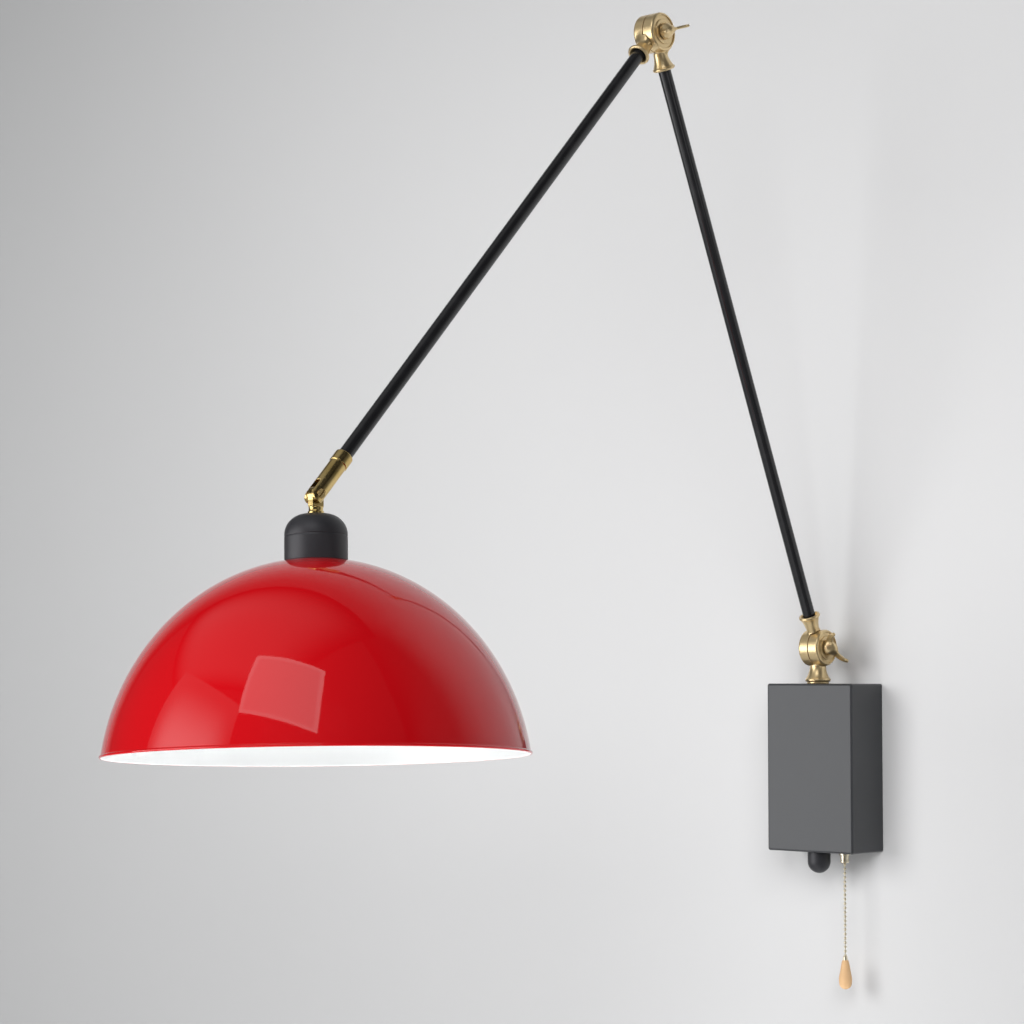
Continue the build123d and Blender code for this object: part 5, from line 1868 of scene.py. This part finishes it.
@dataclass
class Studio:
    """Pale wall and floor, soft lamps and the camera."""

    # The second wall colour is painted shade, blended in towards the left of the wall.
    wall_colour: Colour = (0.63, 0.631, 0.635)
    shaded_wall_colour: Colour = (0.455, 0.457, 0.46)
    floor_drop: float = 1.1
    reach: float = 6.0
    azimuth: float = 41.744
    pitch: float = 3.513
    roll: float = 0.049
    camera_place: Vector = field(default_factory=lambda: Vector((1.25028332, -1.80910975, 0.07686001)))
    focal_pixels: float = 2625.216
    gloss_spot: Vector = field(default_factory=lambda: Vector((0.089, -0.718, 0.09)))

    def build(self) -> None:
        """Sets up the studio."""
        self.make_camera()
        self.make_backdrop()
        self.make_lamps()
        bpy.context.scene.view_settings.view_transform = "Standard"

    def make_camera(self) -> None:
        """Puts the camera where the reference was taken from."""
        data = bpy.data.cameras.new("camera")
        data.sensor_width = SENSOR_WIDTH
        data.lens = self.focal_pixels / FRAME_PIXELS * SENSOR_WIDTH
        camera = bpy.data.objects.new("camera", data)
        turn = Matrix.Rotation(math.radians(self.azimuth), 3, "Z")
        tip = Matrix.Rotation(math.radians(90.0 + self.pitch), 3, "X")
        lean = Matrix.Rotation(math.radians(self.roll), 3, "Z")
        camera.matrix_world = Matrix.Translation(self.camera_place) @ (turn @ tip @ lean).to_4x4()
        bpy.context.scene.collection.objects.link(camera)
        bpy.context.scene.camera = camera

    def sheet(self, name: str, corners: Sequence[Vector]) -> None:
        """Makes one flat sheet of the backdrop, seen from its front only, with painted light falloff in its colour.

        Args:
            name: Name of the sheet.
            corners: Its corners, anticlockwise from the front.
        """
        mesh = bpy.data.meshes.new(name)
        mesh.from_pydata([tuple(c) for c in corners], [], [range(len(corners))])
        graph = Graph(name)
        back = graph.node("ShaderNodeNewGeometry", output="Backfacing")
        cloud = graph.noise(1.4, 4.0)
        across = graph.position().vector("DOT_PRODUCT", tuple(RIGHT), output="Value")
        height = graph.position().vector("DOT_PRODUCT", tuple(UP), output="Value")
        # painted light falloff: the colour darkens with height and to the right, and turns to the darker wall colour
        # towards the left
        painted_falloff = (1.0 - 0.72 * height.smooth(0.0, 2.0)) * (1.0 - 0.8 * across.smooth(0.3, 1.0))
        pale = across.smooth(-1.35, -0.3) * 0.9 + cloud * 0.2 - 0.05
        colour = graph.blend(pale, self.shaded_wall_colour, self.wall_colour)
        paint = graph.node("ShaderNodeBsdfPrincipled", values={
            "Base Color": graph.blend(painted_falloff, (0.0, 0.0, 0.0), colour),
            "Roughness": 0.9,
            "Specular IOR Level": 0.2,
        })
        clear = graph.node("ShaderNodeBsdfTransparent")
        graph.end(graph.node("ShaderNodeMixShader", values={0: back, 1: paint, 2: clear}))
        mesh.materials.append(graph.material)
        new_object(name, mesh)

    def make_backdrop(self) -> None:
        """Makes the wall behind the box and the floor below it."""
        r, low, back = self.reach, -self.floor_drop, 0.0006
        wall = [Vector((-r, back, low)), Vector((r, back, low)), Vector((r, back, r)), Vector((-r, back, r))]
        floor = [Vector((-r, back, low)), Vector((-r, -r, low)), Vector((r, -r, low)), Vector((r, back, low))]
        self.sheet("backdrop_wall", wall)
        self.sheet("backdrop_floor", floor)

    def make_lamps(self) -> None:
        """Hangs the softboxes and lamps and sets the dim surroundings."""
        spot = self.gloss_spot

        def quad(reach: float, *ways: Pair) -> tuple[Vector, ...]:
            """Returns the points at some directions from the gloss spot."""
            return tuple(spot + bearing(*way) * reach for way in ways)

        overhead = quad(2.4, (-3.5, 33.5), (46.5, 27), (54, 58.5), (-16, 60))
        Softbox("overhead_softbox", overhead, 1.7, rim_glow=0.55).build()
        middle, along = spot + bearing(-30, 0) * 2.2, bearing(60, 0)

        def upright(left: float, right: float, foot: float, head: float) -> tuple[Vector, ...]:
            """Returns the corners of a sheet that stands in the window's plane."""
            corners = ((left, foot), (right, foot), (right, head), (left, head))
            return tuple(middle + along * u + UP * v for u, v in corners)

        Softbox("window_softbox", upright(-1.14, 1.1, 0.38, 1.82), 0.42, peak_glow=1.9).build()
        Softbox("low_window_softbox", upright(-1.6, 0.95, -0.9, 0.36), 3.6).build()
        Softbox("low_softbox", quad(2.4, (72, -10), (98, -10), (98, 12), (72, 12)), 0.8).build()
        corners = ((-3.6, -3.4, 2.6), (-3.6, 0.0, 2.6), (1.0, 0.0, 2.6), (1.0, -3.4, 2.6))
        ceiling = tuple(Vector(corner) for corner in corners)
        Softbox("ceiling_softbox", ceiling, 0.0, soft_glow=0.34).build()
        middle = Vector((0.0, -0.35, 0.2))
        Fill("key_lamp", middle + bearing(-26, 13) * 3.2, middle, 2.0, 2.0, 5.1).build()
        Fill("front_lamp", middle + bearing(36, 22) * 3.2, middle, 2.4, 1.8, 4.5).build()
        floor_spot, shade_mouth = Vector((0.03, -0.62, -1.0)), Vector((0.02, -0.61, 0.1))
        Fill("floor_bounce", floor_spot, shade_mouth, 1.0, 0.9, 1.55, 70.0).build()
        world = bpy.data.worlds.new("surroundings")
        world.use_nodes = True
        sky = world.node_tree.nodes["Background"]
        sky.inputs["Color"].default_value = (0.80, 0.81, 0.83, 1.0)
        sky.inputs["Strength"].default_value = 0.06
        bpy.context.scene.world = world


def main() -> None:
    """Builds the classes in order."""
    logging.basicConfig(level=logging.INFO, format="%(message)s")
    WallBox().build()
    PullSwitch().build()
    PullChain().build()
    Stem().build()
    Arms().build()
    LampHolder().build()
    Shade().build()
    Studio().build()


if __name__ == "__main__":
    main()
